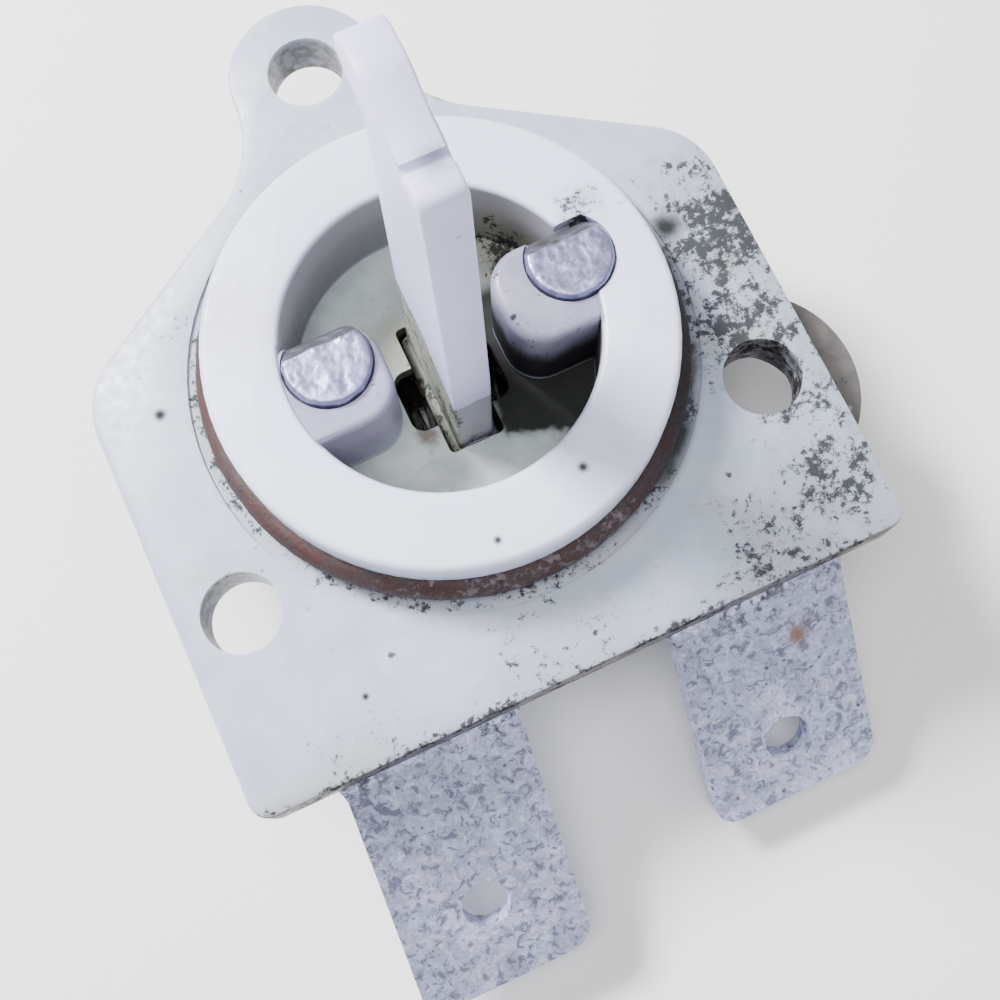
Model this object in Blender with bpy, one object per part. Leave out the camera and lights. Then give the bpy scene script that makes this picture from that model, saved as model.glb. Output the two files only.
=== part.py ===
"""Sealed blade switch on a three-hole flange.

A white plastic flange carries a round spigot with a seal ring. A tall flat blade stands up
through a slot in the spigot's floor and rocks sideways on a steel pin, between two posts that
hold D-headed contact studs. Behind the flange, a round cover holds two centring springs and
the contacts: a metal bridge on the blade's tail joins the two terminals while the blade
stands upright, and slides off the fixed contacts when the blade is pushed to either side.

Frame: origin at the centre of the cover's flat back, +Z out of the flange towards the blade's
tip, +Y towards the flange's ear, +X towards the cover's round lug.
"""

import math

import bmesh
import bpy
from mathutils import Matrix, Vector

MM = 0.001

# Clearances
SEAT_GAP = 0.10 * MM          # between pieces that rest on each other
RUNNING_GAP = 0.05 * MM       # radial, round the pivot pin and the rivet shanks
CONTACT_GAP = 0.05 * MM       # between the closed contacts
MOVING_GAP = 0.30 * MM        # beside the lever's hub
SLOT_GAP = 0.25 * MM          # at the two ends of the blade's slot
TRIM = 1.0 * MM               # how far cutters run past what they cut

# Flange plate
PLATE_WIDTH = 34.3 * MM
PLATE_THICKNESS = 2.8 * MM
PLATE_EDGE = 0.25 * MM        # rounding of the plate's rim
BOTTOM_EDGE = 16.9 * MM       # from the spigot's axis down to the straight edge
SIDE_TOP = 3.8 * MM           # where the straight sides turn into the shoulders
SHOULDER_RADIUS = 4.0 * MM
FLANK_ANGLE = 32.5            # degrees, between the shoulder's flank and the straight edge
NECK_RADIUS = 6.5 * MM
EAR_HEIGHT = 17.8 * MM
EAR_RADIUS = 4.1 * MM
CORNER_RADIUS = 1.0 * MM
HOLE_RADIUS = 2.0 * MM
HOLE_SPREAD = 14.0 * MM
HOLE_DROP = 7.45 * MM

# Spigot, seal and recess
SPIGOT_RADIUS = 11.43 * MM
SPIGOT_HEIGHT = 3.92 * MM
SPIGOT_EDGE = 0.35 * MM
RECESS_RADIUS = 7.66 * MM
FLOOR_THICKNESS = 0.95 * MM
SEAL_SECTION = 1.78 * MM
SEAL_RADIUS = 11.35 * MM      # to the middle of the cord
SEAL_SEAT_DEPTH = 0.15 * MM
SEAL_SEAT_MARGIN = 0.6 * MM

# Posts and studs
POST_DROP = 0.15 * MM         # post tops, below the spigot's rim
POST_WIDTH = 5.1 * MM
POST_CORNER = 1.9 * MM
POST_EDGE = 0.45 * MM
POST_REACH = 1.9 * MM         # how far each post runs into the spigot's wall
POST_INNER = {"left": 2.85 * MM, "right": 3.1 * MM}
STUD_PLACE = {"left": 5.4 * MM, "right": 7.2 * MM}
STUD_LIFT = 0.9 * MM          # the studs stand this far towards the ear
STUD_HEAD_RADIUS = 2.15 * MM
STUD_FLAT = 1.65 * MM         # from the stud's axis to its flat side
STUD_BEVEL = 1.0 * MM
STUD_PROUD = 0.45 * MM
STUD_POCKET = 0.6 * MM
STUD_EDGE = 0.2 * MM
STUD_SHANK_RADIUS = 1.3 * MM
STUD_TAIL_RADIUS = 1.8 * MM
STUD_TAIL_HEIGHT = 0.6 * MM
WASHER_THICKNESS = 0.35 * MM
WASHER_RADIUS = 2.1 * MM

# Blade lever
BLADE_THICKNESS = 1.9 * MM
BLADE_FRONT = 3.8 * MM        # at the floor, towards the straight edge
BLADE_BACK = 2.95 * MM        # at the floor, towards the ear
BLADE_KNEE = 5.5 * MM         # the front edge is upright up to here, above the plate's face
BLADE_HEIGHT = 22.85 * MM     # top edge above the plate's face, at the front
BLADE_TIP_FRONT = 2.9 * MM
BLADE_TIP_RADIUS = 0.6 * MM
TOP_GROOVE_PLACE = 1.3 * MM   # a groove across the top edge, in front of the middle
TOP_GROOVE_RADIUS = 0.28 * MM
HEAD_RISE = 0.85 * MM         # the head's crown, above the front of the top edge
HEAD_START = 0.5 * MM         # where the top edge begins to rise, behind the middle
HEAD_CROWN = 1.7 * MM
CROWN_LENGTH = 1.4            # the crown's flat begins at this many times HEAD_CROWN
HEAD_BACK = 4.5 * MM
HEAD_DEPTH = 2.4 * MM
HEAD_RADIUS = 1.05 * MM
NECK_BACK = 2.4 * MM          # the back edge just under the head
BLADE_EDGE = 0.22 * MM
HUB_RADIUS = 1.35 * MM
WAIST_SHARE = 0.6             # of the hub's radius, below the pin, where the tail widens
HUB_PROUD = 0.06 * MM         # at each end, past the blade's edges
PIN_RADIUS = 0.75 * MM
PIVOT_DROP = 0.9 * MM         # pin's axis, below the plate's back face
BOSS_THICKNESS = 2.6 * MM
BOSS_HALF_WIDTH = 1.9 * MM
BOSS_HEIGHT = 2.9 * MM
CLIP_THICKNESS = 0.6 * MM
CLIP_RADIUS = 1.6 * MM
CLIP_OPENING = 0.6            # height of the clip's opening, in pin radii above the axis
PIN_OVERHANG = 0.3 * MM
SWING = 13.0                  # degrees each way
SLOT_CORNER = 0.3 * MM
OPENING_HALF_WIDTH = 2.7 * MM
OPENING_FRONT = 2.4 * MM
OPENING_BACK = 1.0 * MM
OPENING_CORNER = 0.7 * MM
TAIL_FRONT = 2.6 * MM
TAIL_BACK = 1.7 * MM
NUB_RADIUS = 0.85 * MM
NUB_LENGTH = 0.8 * MM

# Rear cover
COVER_RADIUS = 12.1 * MM
COVER_ROOM = 7.7 * MM         # the cover's height without two layers of terminal sheet
COVER_WALL = 1.2 * MM
COVER_FLOOR = 1.4 * MM
COVER_EDGE = 0.5 * MM
CHANNEL_REACH = 2.0 * MM      # past the wall, outside
LUG_RADIUS = 5.6 * MM
LUG_BORE_RADIUS = 3.15 * MM
LUG_THICKNESS = 3.0 * MM
SCREW_ANGLES = {"left": 160.0, "right": 20.0, "lower": 270.0}
SCREW_EAR_RADIUS = 1.75 * MM
SCREW_EAR_THICKNESS = 2.5 * MM
SCREW_RADIUS = 0.85 * MM
SCREW_HEAD_RADIUS = 1.6 * MM
SCREW_HEAD_HEIGHT = 1.2 * MM
SCREW_BITE = 2.0 * MM         # into the plate
SCREW_SLOT_WIDTH = 0.5 * MM
SCREW_SLOT_DEPTH = 0.5 * MM
SEAT_POST_PLACE = 6.2 * MM    # inner face of each spring seat
SEAT_POST_DEPTH = 1.1 * MM
SEAT_POST_WIDTH = 3.5 * MM
SEAT_POST_MARGIN = 0.1 * MM   # above the spring

# Terminals and contacts
METAL_THICKNESS = 1.2 * MM
TAB_WIDTH = 9.3 * MM
TAB_LENGTH = {"left": 13.0 * MM, "right": 11.8 * MM}
TAB_TILT = {"left": 27.0, "right": 37.0}
TAB_ROOT = {"left": -8.55 * MM, "right": 9.2 * MM}
TAB_LEAN = 4.9                # degrees, both tabs, towards the left
TAB_CORNER = 1.2 * MM
TAB_HOLE_RADIUS = 1.25 * MM
TAB_HOLE_FROM_TIP = {"left": 4.5 * MM, "right": 3.6 * MM}
TAB_SHOULDER = 0.8 * MM       # the terminal's body is this much wider than its tab, each side
BODY_LENGTH = 4.4 * MM        # the terminal's wide part, behind the plate's straight edge
NECK_OUTER = 6.8 * MM
NECK_INNER = 3.6 * MM
BEND_RADIUS = 1.0 * MM
LEG_HALF_WIDTH = 1.2 * MM
CONTACT_SPREAD = 4.9 * MM     # from the lever's middle to each contact
CONTACT_RADIUS = 0.8 * MM
CONTACT_DOME = 0.4 * MM
CONTACT_SHANK = 0.45 * MM
FIXED_CONTACT_HEIGHT = 0.55 * MM
LEG_REACH = 1.1 * MM          # how far each leg runs past the middle
BRIDGE_THICKNESS = 0.4 * MM
BRIDGE_HALF_WIDTH = 1.1 * MM
BRIDGE_RIVET_RADIUS = 0.5 * MM
BRIDGE_RIVET_HEAD = 0.85 * MM
BRIDGE_RIVET_DEPTH = 2.2 * MM
BRIDGE_RIVET_HEIGHT = 0.35 * MM
RIVET_FLAT = 0.7              # share of the head's radius that is flat

# Centring springs
SPRING_RADIUS = 1.22 * MM     # to the middle of the wire
SPRING_WIRE = 0.35 * MM
SPRING_TURNS = 5
SPRING_SQUEEZE = 0.06         # share of the length by which the end turns are closer
SPRING_DROP = 2.0 * MM        # springs' axis, below the pin, besides the sheet's thickness

# Smoothness
ROUND_STEPS = 72
LUG_STEPS = 64
HOLE_STEPS = 32
SMALL_STEPS = 24
SPRING_STEPS = 14
SMOOTH_ANGLE = 35.0

# Places that follow from the sizes
COVER_HEIGHT = COVER_ROOM + 2 * METAL_THICKNESS
PLATE_BACK = COVER_HEIGHT + SEAT_GAP
PLATE_FRONT = PLATE_BACK + PLATE_THICKNESS
RIM_TOP = PLATE_FRONT + SPIGOT_HEIGHT
FLOOR_TOP = PLATE_BACK + FLOOR_THICKNESS
POST_TOP = RIM_TOP - POST_DROP
PIVOT_Z = PLATE_BACK - PIVOT_DROP
LEVER_MIDDLE = (BLADE_BACK - BLADE_FRONT) / 2
SPRING_Z = PIVOT_Z - SPRING_DROP - METAL_THICKNESS
METAL_TOP = PLATE_BACK - SEAT_GAP
METAL_BACK = METAL_TOP - METAL_THICKNESS
LEG_BACK = COVER_FLOOR + 3 * SEAT_GAP
LEG_TOP = LEG_BACK + METAL_THICKNESS
FIXED_TOP = LEG_TOP + SEAT_GAP + FIXED_CONTACT_HEIGHT
BRIDGE_BACK = FIXED_TOP + CONTACT_GAP + CONTACT_DOME + SEAT_GAP
BRIDGE_TOP = BRIDGE_BACK + BRIDGE_THICKNESS
TAIL_BOTTOM = BRIDGE_TOP + SEAT_GAP
COVER_INNER = COVER_RADIUS - COVER_WALL
SCREW_CIRCLE = COVER_RADIUS + SEAT_GAP + SCREW_HEAD_RADIUS
LEG_PLANE = NECK_OUTER + BEND_RADIUS
SIDE_SIGN = {"left": -1, "right": 1}

# name: colour, roughness, metallic
FINISHES = {
    "white_nylon": ((0.80, 0.83, 0.86), 0.42, 0.0),
    "blade_nylon": ((0.88, 0.89, 0.95), 0.35, 0.0),
    "brown_rubber": ((0.17, 0.07, 0.06), 0.60, 0.0),
    "tinned_brass": ((0.52, 0.52, 0.58), 0.48, 0.9),
    "stud_metal": ((0.66, 0.66, 0.76), 0.28, 1.0),
    "steel": ((0.55, 0.55, 0.56), 0.35, 1.0),
    "contact_silver": ((0.80, 0.79, 0.76), 0.25, 1.0),
    "bridge_brass": ((0.72, 0.53, 0.26), 0.35, 1.0),
    "cover_plastic": ((0.28, 0.25, 0.24), 0.65, 0.0),
}


def clear_scene():
    for obj in list(bpy.data.objects):
        bpy.data.objects.remove(obj, do_unlink=True)


def finish(obj, name):
    """Gives an object its finish, making the material on first use."""
    material = bpy.data.materials.get(name)
    if material is None:
        colour, roughness, metallic = FINISHES[name]
        material = bpy.data.materials.new(name)
        material.use_nodes = True
        shader = material.node_tree.nodes["Principled BSDF"]
        shader.inputs["Base Color"].default_value = (*colour, 1.0)
        shader.inputs["Roughness"].default_value = roughness
        shader.inputs["Metallic"].default_value = metallic
    obj.data.materials.append(material)
    return obj


def place_mesh(name, bm, location=(0.0, 0.0, 0.0)):
    """Closes a bmesh into a smooth-shaded object at a location."""
    bmesh.ops.remove_doubles(bm, verts=bm.verts, dist=1e-8)
    bmesh.ops.recalc_face_normals(bm, faces=bm.faces)
    mesh = bpy.data.meshes.new(name)
    bm.to_mesh(mesh)
    bm.free()
    mesh.shade_smooth()
    mesh.set_sharp_from_angle(angle=math.radians(SMOOTH_ANGLE))
    obj = bpy.data.objects.new(name, mesh)
    obj.location = location
    bpy.context.scene.collection.objects.link(obj)
    return obj


def extrude_bmesh(outline, low, high, axis="z"):
    """A prism along an axis. The outline's points hold the other two coordinates, in order."""
    def point(a, b, c):
        return {"x": (c, a, b), "y": (a, c, b), "z": (a, b, c)}[axis]

    bm = bmesh.new()
    face = bm.faces.new([bm.verts.new(point(a, b, low)) for a, b in outline])
    moved = bmesh.ops.extrude_face_region(bm, geom=[face])["geom"]
    step = Vector(point(0.0, 0.0, high - low))
    bmesh.ops.translate(bm, vec=step, verts=[v for v in moved if isinstance(v, bmesh.types.BMVert)])
    return bm


def prism(name, outline, low, high, axis="z", location=(0.0, 0.0, 0.0)):
    return place_mesh(name, extrude_bmesh(outline, low, high, axis), location)


def turned(name, profile, steps, location=(0.0, 0.0, 0.0), axis="z"):
    """A solid of revolution. The profile is a closed loop of (radius, height) points."""
    bm = bmesh.new()
    turn = {"x": Matrix.Rotation(math.pi / 2, 3, "Y"), "y": Matrix.Rotation(-math.pi / 2, 3, "X")}
    place = turn.get(axis, Matrix.Identity(3))
    rings = []
    for i in range(steps):
        around = place @ Matrix.Rotation(math.tau * i / steps, 3, "Z")
        rings.append([bm.verts.new(around @ Vector((radius, 0.0, height))) for radius, height in profile])
    for near, far in zip(rings, rings[1:] + rings[:1]):
        for j in range(len(profile)):
            k = (j + 1) % len(profile)
            if max(profile[j][0], profile[k][0]) > 0:
                bm.faces.new((near[j], far[j], far[k], near[k]))
    return place_mesh(name, bm, location)


def rod(name, radius, low, high, steps=HOLE_STEPS, location=(0.0, 0.0, 0.0), axis="z"):
    """A plain round bar, used for cutters, bosses and shanks."""
    return turned(name, [(0.0, low), (radius, low), (radius, high), (0.0, high)], steps, location, axis)


def box(name, low, high):
    outline = [(low[0], low[1]), (high[0], low[1]), (high[0], high[1]), (low[0], high[1])]
    return prism(name, outline, low[2], high[2])


def combine(obj, tool, operation):
    """Adds or cuts another object's shape, and hides that object."""
    modifier = obj.modifiers.new(f"{operation.lower()}_{tool.name}", "BOOLEAN")
    modifier.operation = operation
    modifier.solver = "EXACT"
    modifier.object = tool
    tool.hide_render = True
    tool.display_type = "WIRE"


def join_all(obj, tools):
    for tool in tools:
        combine(obj, tool, "UNION")


def cut_all(obj, tools):
    for tool in tools:
        combine(obj, tool, "DIFFERENCE")


def round_edges(obj, width, segments=2, angle=50.0):
    modifier = obj.modifiers.new("rounding", "BEVEL")
    modifier.width = width
    modifier.segments = segments
    modifier.limit_method = "ANGLE"
    modifier.angle_limit = math.radians(angle)


def arc(centre, radius, start, end, steps):
    """Points on an arc from one angle to another, in degrees."""
    angles = [math.radians(start + (end - start) * i / steps) for i in range(steps + 1)]
    return [(centre[0] + radius * math.cos(a), centre[1] + radius * math.sin(a)) for a in angles]


def rounded_corner(corner, radius, start, steps=5):
    """A quarter turn inside a square corner. start is the arc's first angle."""
    sign_x = 1 if math.cos(math.radians(start + 45)) > 0 else -1
    sign_y = 1 if math.sin(math.radians(start + 45)) > 0 else -1
    centre = (corner[0] - sign_x * radius, corner[1] - sign_y * radius)
    return arc(centre, radius, start, start + 90, steps)


def direction_angle(start, end):
    return math.degrees(math.atan2(end[1] - start[1], end[0] - start[0]))


def plate_outline():
    """Straight bottom and sides, sloping shoulders, and an ear on a concave neck."""
    half = PLATE_WIDTH / 2
    slope = math.radians(FLANK_ANGLE)
    outward = Vector((math.sin(slope), math.cos(slope)))
    along = Vector((-math.cos(slope), math.sin(slope)))
    shoulder = Vector((half - SHOULDER_RADIUS, SIDE_TOP))
    ear = Vector((0.0, EAR_HEIGHT))
    start = shoulder + outward * SHOULDER_RADIUS + outward * NECK_RADIUS - ear
    reach = NECK_RADIUS + EAR_RADIUS
    slide = -start.dot(along) - math.sqrt(start.dot(along) ** 2 - start.length_squared + reach**2)
    neck = ear + start + along * slide
    right = rounded_corner((half, -BOTTOM_EDGE), CORNER_RADIUS, -90)
    right += arc(shoulder, SHOULDER_RADIUS, 0, 90 - FLANK_ANGLE, 8)
    leaving = direction_angle((0, 0), -outward) + 360
    right += arc(neck, NECK_RADIUS, leaving, direction_angle(neck, ear) % 360, 10)
    right += arc(ear, EAR_RADIUS, direction_angle(ear, neck), 90, 12)
    return right + [(-x, y) for x, y in reversed(right[:-1])]


def rounded_rectangle(half_width, front, back, radius):
    """A rectangle across the middle with round corners, in x and y."""
    points = rounded_corner((half_width, -front), radius, -90)
    points += rounded_corner((half_width, back), radius, 0)
    points += rounded_corner((-half_width, back), radius, 90)
    points += rounded_corner((-half_width, -front), radius, 180)
    return points


def stud_outline(grow=0.0):
    """The D shape of a stud's head: a circle with a flat towards the ear."""
    radius = STUD_HEAD_RADIUS + grow
    flat_angle = math.degrees(math.asin((STUD_FLAT + grow) / radius))
    return arc((0.0, 0.0), radius, 180 - flat_angle, 360 + flat_angle, 26)


def stud_position(side):
    return SIDE_SIGN[side] * STUD_PLACE[side], STUD_LIFT


def screw_position(side):
    turn = math.radians(SCREW_ANGLES[side])
    return SCREW_CIRCLE * math.cos(turn), SCREW_CIRCLE * math.sin(turn)


def hole_positions():
    return {
        "left": (-HOLE_SPREAD, -HOLE_DROP),
        "right": (HOLE_SPREAD, -HOLE_DROP),
        "ear": (0.0, EAR_HEIGHT),
    }


def spigot_wall():
    """The spigot with its groove for the seal, from inside the plate to the rim."""
    groove = SEAL_RADIUS - SEAL_SECTION / 2 - SEAT_GAP
    groove_top = PLATE_FRONT - SEAL_SEAT_DEPTH + SEAL_SECTION + 2 * SEAT_GAP
    inside = RECESS_RADIUS - POST_REACH / 2
    buried = PLATE_FRONT - PLATE_THICKNESS / 2
    rim = RIM_TOP - SPIGOT_EDGE
    profile = [(inside, buried), (groove, buried), (groove, groove_top), (SPIGOT_RADIUS, groove_top)]
    profile += arc((SPIGOT_RADIUS - SPIGOT_EDGE, rim), SPIGOT_EDGE, 0, 90, 4)
    profile += [(inside, RIM_TOP)]
    return turned("spigot_wall", profile, ROUND_STEPS)


def recess_cutter():
    """The round recess, wider at the rim where its edge is rounded off."""
    profile = [(0.0, FLOOR_TOP), (RECESS_RADIUS, FLOOR_TOP), (RECESS_RADIUS, RIM_TOP - SPIGOT_EDGE)]
    centre = (RECESS_RADIUS + SPIGOT_EDGE, RIM_TOP - SPIGOT_EDGE)
    profile += arc(centre, SPIGOT_EDGE, 180, 90, 4)[1:]
    profile += [(RECESS_RADIUS + SPIGOT_EDGE, RIM_TOP + TRIM), (0.0, RIM_TOP + TRIM)]
    return turned("recess_cutter", profile, ROUND_STEPS)


def seal_seat_cutter():
    """A shallow ring in the plate's face that the seal sits in."""
    inner = SEAL_RADIUS - SEAL_SECTION / 2 - SEAT_GAP
    outer = SEAL_RADIUS + SEAL_SECTION / 2 + SEAL_SEAT_MARGIN
    low, high = PLATE_FRONT - SEAL_SEAT_DEPTH, PLATE_FRONT + SEAL_SECTION / 2
    return turned("seal_seat_cutter", [(inner, low), (outer, low), (outer, high), (inner, high)], ROUND_STEPS)


def post(side):
    """One of the two posts that stand on the floor, between the spigot's wall and the blade."""
    inner, outer = POST_INNER[side], RECESS_RADIUS + POST_REACH
    half = POST_WIDTH / 2
    outline = [(outer, half)] + rounded_corner((inner, half), POST_CORNER, 90, 7)
    outline += rounded_corner((inner, -half), POST_CORNER, 180, 7) + [(outer, -half)]
    sign = SIDE_SIGN[side]
    outline = [(sign * x, y) for x, y in outline]
    solid = prism(f"post_{side}", outline, FLOOR_TOP - FLOOR_THICKNESS / 2, POST_TOP)
    round_edges(solid, POST_EDGE, segments=3, angle=60)
    return solid


def pivot_boss(name, near, far):
    """A block under the floor that holds one end of the pin. near and far are places along Y."""
    low, high = sorted((near, far))
    bottom = PLATE_BACK - BOSS_HEIGHT
    top = FLOOR_TOP - FLOOR_THICKNESS / 2
    return box(name, (-BOSS_HALF_WIDTH, low, bottom), (BOSS_HALF_WIDTH, high, top))


def boss_faces():
    """Inner and outer places along Y of the front boss and the rear boss."""
    front, back = -BLADE_FRONT - HUB_PROUD - MOVING_GAP, BLADE_BACK + HUB_PROUD + MOVING_GAP
    return (front, front - BOSS_THICKNESS), (back, back + BOSS_THICKNESS)


def make_flange_body():
    body = prism("flange_body", plate_outline(), PLATE_BACK, PLATE_FRONT)
    round_edges(body, PLATE_EDGE)
    front_boss, rear_boss = boss_faces()
    join_all(body, [spigot_wall()])
    cut_all(body, [recess_cutter(), seal_seat_cutter()])
    bosses = [pivot_boss("boss_front", *front_boss), pivot_boss("boss_rear", *rear_boss)]
    join_all(body, [post("left"), post("right")] + bosses)
    half_slot = BLADE_THICKNESS / 2 / math.cos(math.radians(SWING)) + SEAT_GAP
    half_slot += (FLOOR_TOP - PIVOT_Z) * math.tan(math.radians(SWING))
    slot = rounded_rectangle(half_slot, BLADE_FRONT + SLOT_GAP, BLADE_BACK + SLOT_GAP, SLOT_CORNER)
    opening = rounded_rectangle(OPENING_HALF_WIDTH, OPENING_FRONT, OPENING_BACK, OPENING_CORNER)
    low, high = PLATE_BACK - PIVOT_DROP / 4, FLOOR_TOP + TRIM
    cutters = [prism("slot_cutter", slot, low, high), prism("opening_cutter", opening, low, high)]
    pin_hole = PIN_RADIUS + RUNNING_GAP / 2
    cutters.append(rod("pin_hole_cutter", pin_hole, front_boss[1] - TRIM, rear_boss[1] + TRIM, SMALL_STEPS,
                       (0.0, 0.0, PIVOT_Z), "y"))
    for side, (x, y) in hole_positions().items():
        cutters.append(rod(f"hole_cutter_{side}", HOLE_RADIUS, PLATE_BACK - TRIM, PLATE_FRONT + TRIM,
                           HOLE_STEPS, (x, y, 0.0)))
    for side in SIDE_SIGN:
        x, y = stud_position(side)
        shank_hole = STUD_SHANK_RADIUS + RUNNING_GAP
        cutters.append(rod(f"stud_bore_{side}", shank_hole, PLATE_BACK - TRIM, RIM_TOP, SMALL_STEPS,
                           (x, y, 0.0)))
        cutters.append(prism(f"stud_pocket_{side}", stud_outline(SEAT_GAP), POST_TOP - STUD_POCKET,
                             RIM_TOP + TRIM, location=(x, y, 0.0)))
    for side in SCREW_ANGLES:
        x, y = screw_position(side)
        top = PLATE_BACK + SCREW_BITE + 2 * SEAT_GAP
        cutters.append(rod(f"screw_hole_{side}", SCREW_RADIUS + RUNNING_GAP, PLATE_BACK - TRIM, top,
                           SMALL_STEPS, (x, y, 0.0)))
    cut_all(body, cutters)
    return finish(body, "white_nylon")


def make_seal_ring():
    height = PLATE_FRONT - SEAL_SEAT_DEPTH + SEAT_GAP + SEAL_SECTION / 2
    section = arc((SEAL_RADIUS, height), SEAL_SECTION / 2, 0, 360, 14)[:-1]
    return finish(turned("seal_ring", section, ROUND_STEPS), "brown_rubber")


def blade_outline():
    """The blade's side view, in y and z: tail, hub, tapering fin and a head that reaches back."""
    waist = PIVOT_Z - HUB_RADIUS * WAIST_SHARE
    top = PLATE_FRONT + BLADE_HEIGHT
    crown = top + HEAD_RISE
    points = [(-TAIL_FRONT, TAIL_BOTTOM), (-TAIL_FRONT, waist), (-BLADE_FRONT, waist)]
    points += [(-BLADE_FRONT, PLATE_FRONT + BLADE_KNEE)]
    points += arc((BLADE_TIP_RADIUS - BLADE_TIP_FRONT, top - BLADE_TIP_RADIUS), BLADE_TIP_RADIUS, 180, 90, 5)
    points += arc((-TOP_GROOVE_PLACE, top), TOP_GROOVE_RADIUS, 180, 360, 6)
    points += [(HEAD_START, top + HEAD_RISE / 6), (HEAD_CROWN, crown - HEAD_RISE / 8)]
    points += [(HEAD_CROWN * CROWN_LENGTH, crown)]
    points += arc((HEAD_BACK - HEAD_RADIUS, crown - HEAD_RADIUS - HEAD_RISE / 4), HEAD_RADIUS, 75, -60, 8)
    points += [(NECK_BACK, crown - HEAD_DEPTH - HEAD_RISE / 2), (BLADE_BACK, FLOOR_TOP)]
    points += [(BLADE_BACK, waist), (TAIL_BACK, waist), (TAIL_BACK, TAIL_BOTTOM)]
    return points


def make_blade_lever():
    half = BLADE_THICKNESS / 2
    lever = prism("blade_lever", blade_outline(), -half, half, axis="x")
    round_edges(lever, BLADE_EDGE, segments=2, angle=70)
    hub = rod("lever_hub", HUB_RADIUS, -BLADE_FRONT - HUB_PROUD, BLADE_BACK + HUB_PROUD, SMALL_STEPS,
              (0.0, 0.0, PIVOT_Z), "y")
    nubs = rod("lever_nubs", NUB_RADIUS, -half - NUB_LENGTH, half + NUB_LENGTH, SMALL_STEPS,
               (0.0, LEVER_MIDDLE, SPRING_Z), "x")
    join_all(lever, [hub, nubs])
    bore = rod("lever_bore", PIN_RADIUS + RUNNING_GAP, -BLADE_FRONT - TRIM, BLADE_BACK + TRIM, SMALL_STEPS,
               (0.0, 0.0, PIVOT_Z), "y")
    rivet_top = TAIL_BOTTOM + BRIDGE_RIVET_DEPTH + SEAT_GAP
    rivet_hole = rod("rivet_hole", BRIDGE_RIVET_RADIUS + RUNNING_GAP, TAIL_BOTTOM - TRIM, rivet_top,
                     SMALL_STEPS, (0.0, LEVER_MIDDLE, 0.0))
    cut_all(lever, [bore, rivet_hole])
    return finish(lever, "blade_nylon")


def make_pivot_pin():
    front_boss, rear_boss = boss_faces()
    reach = SEAT_GAP + CLIP_THICKNESS + PIN_OVERHANG
    low, high = front_boss[1] - reach, rear_boss[1] + reach
    chamfer = PIN_OVERHANG / 2
    profile = [(0.0, low), (PIN_RADIUS - chamfer, low), (PIN_RADIUS, low + chamfer)]
    profile += [(PIN_RADIUS, high - chamfer), (PIN_RADIUS - chamfer, high), (0.0, high)]
    pin = turned("pivot_pin", profile, SMALL_STEPS, (0.0, 0.0, PIVOT_Z), "y")
    return finish(pin, "steel")


def make_pin_clips():
    """A snap clip at each end of the pin, open towards the plate."""
    front_boss, rear_boss = boss_faces()
    places = {
        "front": front_boss[1] - SEAT_GAP - CLIP_THICKNESS,
        "rear": rear_boss[1] + SEAT_GAP,
    }
    inner = PIN_RADIUS + RUNNING_GAP
    profile = [(inner, 0.0), (CLIP_RADIUS, 0.0), (CLIP_RADIUS, CLIP_THICKNESS), (inner, CLIP_THICKNESS)]
    opening = PIVOT_Z + PIN_RADIUS * CLIP_OPENING
    for end, place in places.items():
        clip = turned(f"pin_clip_{end}", profile, SMALL_STEPS, (0.0, place, PIVOT_Z), "y")
        low = (-CLIP_RADIUS - TRIM, place - TRIM, opening)
        high = (CLIP_RADIUS + TRIM, place + CLIP_THICKNESS + TRIM, opening + CLIP_RADIUS + TRIM)
        cut_all(clip, [box(f"clip_opening_{end}", low, high)])
        finish(clip, "steel")


def make_contact_stud(side):
    """A D-shaped head with a bevel along its flat, a round shank, and a riveted tail."""
    x, y = stud_position(side)
    head_low, head_high = POST_TOP - STUD_POCKET + SEAT_GAP, POST_TOP + STUD_PROUD
    stud = prism(f"contact_stud_{side}", stud_outline(), head_low, head_high, location=(x, y, 0.0))
    round_edges(stud, STUD_EDGE, segments=2, angle=60)
    tail_top = METAL_BACK - 2 * SEAT_GAP - WASHER_THICKNESS
    tail_low = tail_top - STUD_TAIL_HEIGHT
    edge = STUD_TAIL_HEIGHT / 2
    profile = [(0.0, tail_low), (STUD_TAIL_RADIUS - edge, tail_low), (STUD_TAIL_RADIUS, tail_low + edge)]
    profile += [(STUD_TAIL_RADIUS, tail_top), (STUD_SHANK_RADIUS, tail_top)]
    profile += [(STUD_SHANK_RADIUS, head_low + STUD_POCKET / 2), (0.0, head_low + STUD_POCKET / 2)]
    join_all(stud, [turned(f"stud_shank_{side}", profile, SMALL_STEPS, (x, y, 0.0))])
    reach = STUD_HEAD_RADIUS + TRIM
    edge_y, over = STUD_FLAT + STUD_BEVEL * 0.15, STUD_BEVEL * 1.5
    wedge = [(edge_y, head_high - STUD_BEVEL), (edge_y + over, head_high - STUD_BEVEL),
             (edge_y + over, head_high + over), (edge_y - STUD_BEVEL - over, head_high + over)]
    cut_all(stud, [prism(f"stud_bevel_{side}", wedge, -reach, reach, axis="x", location=(x, y, 0.0))])
    return finish(stud, "stud_metal")


def make_stud_washer(side):
    x, y = stud_position(side)
    top = METAL_BACK - SEAT_GAP
    low = top - WASHER_THICKNESS
    inner = STUD_SHANK_RADIUS + RUNNING_GAP
    profile = [(inner, low), (WASHER_RADIUS, low), (WASHER_RADIUS, top), (inner, top)]
    return finish(turned(f"stud_washer_{side}", profile, SMALL_STEPS, (x, y, 0.0)), "steel")


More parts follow.
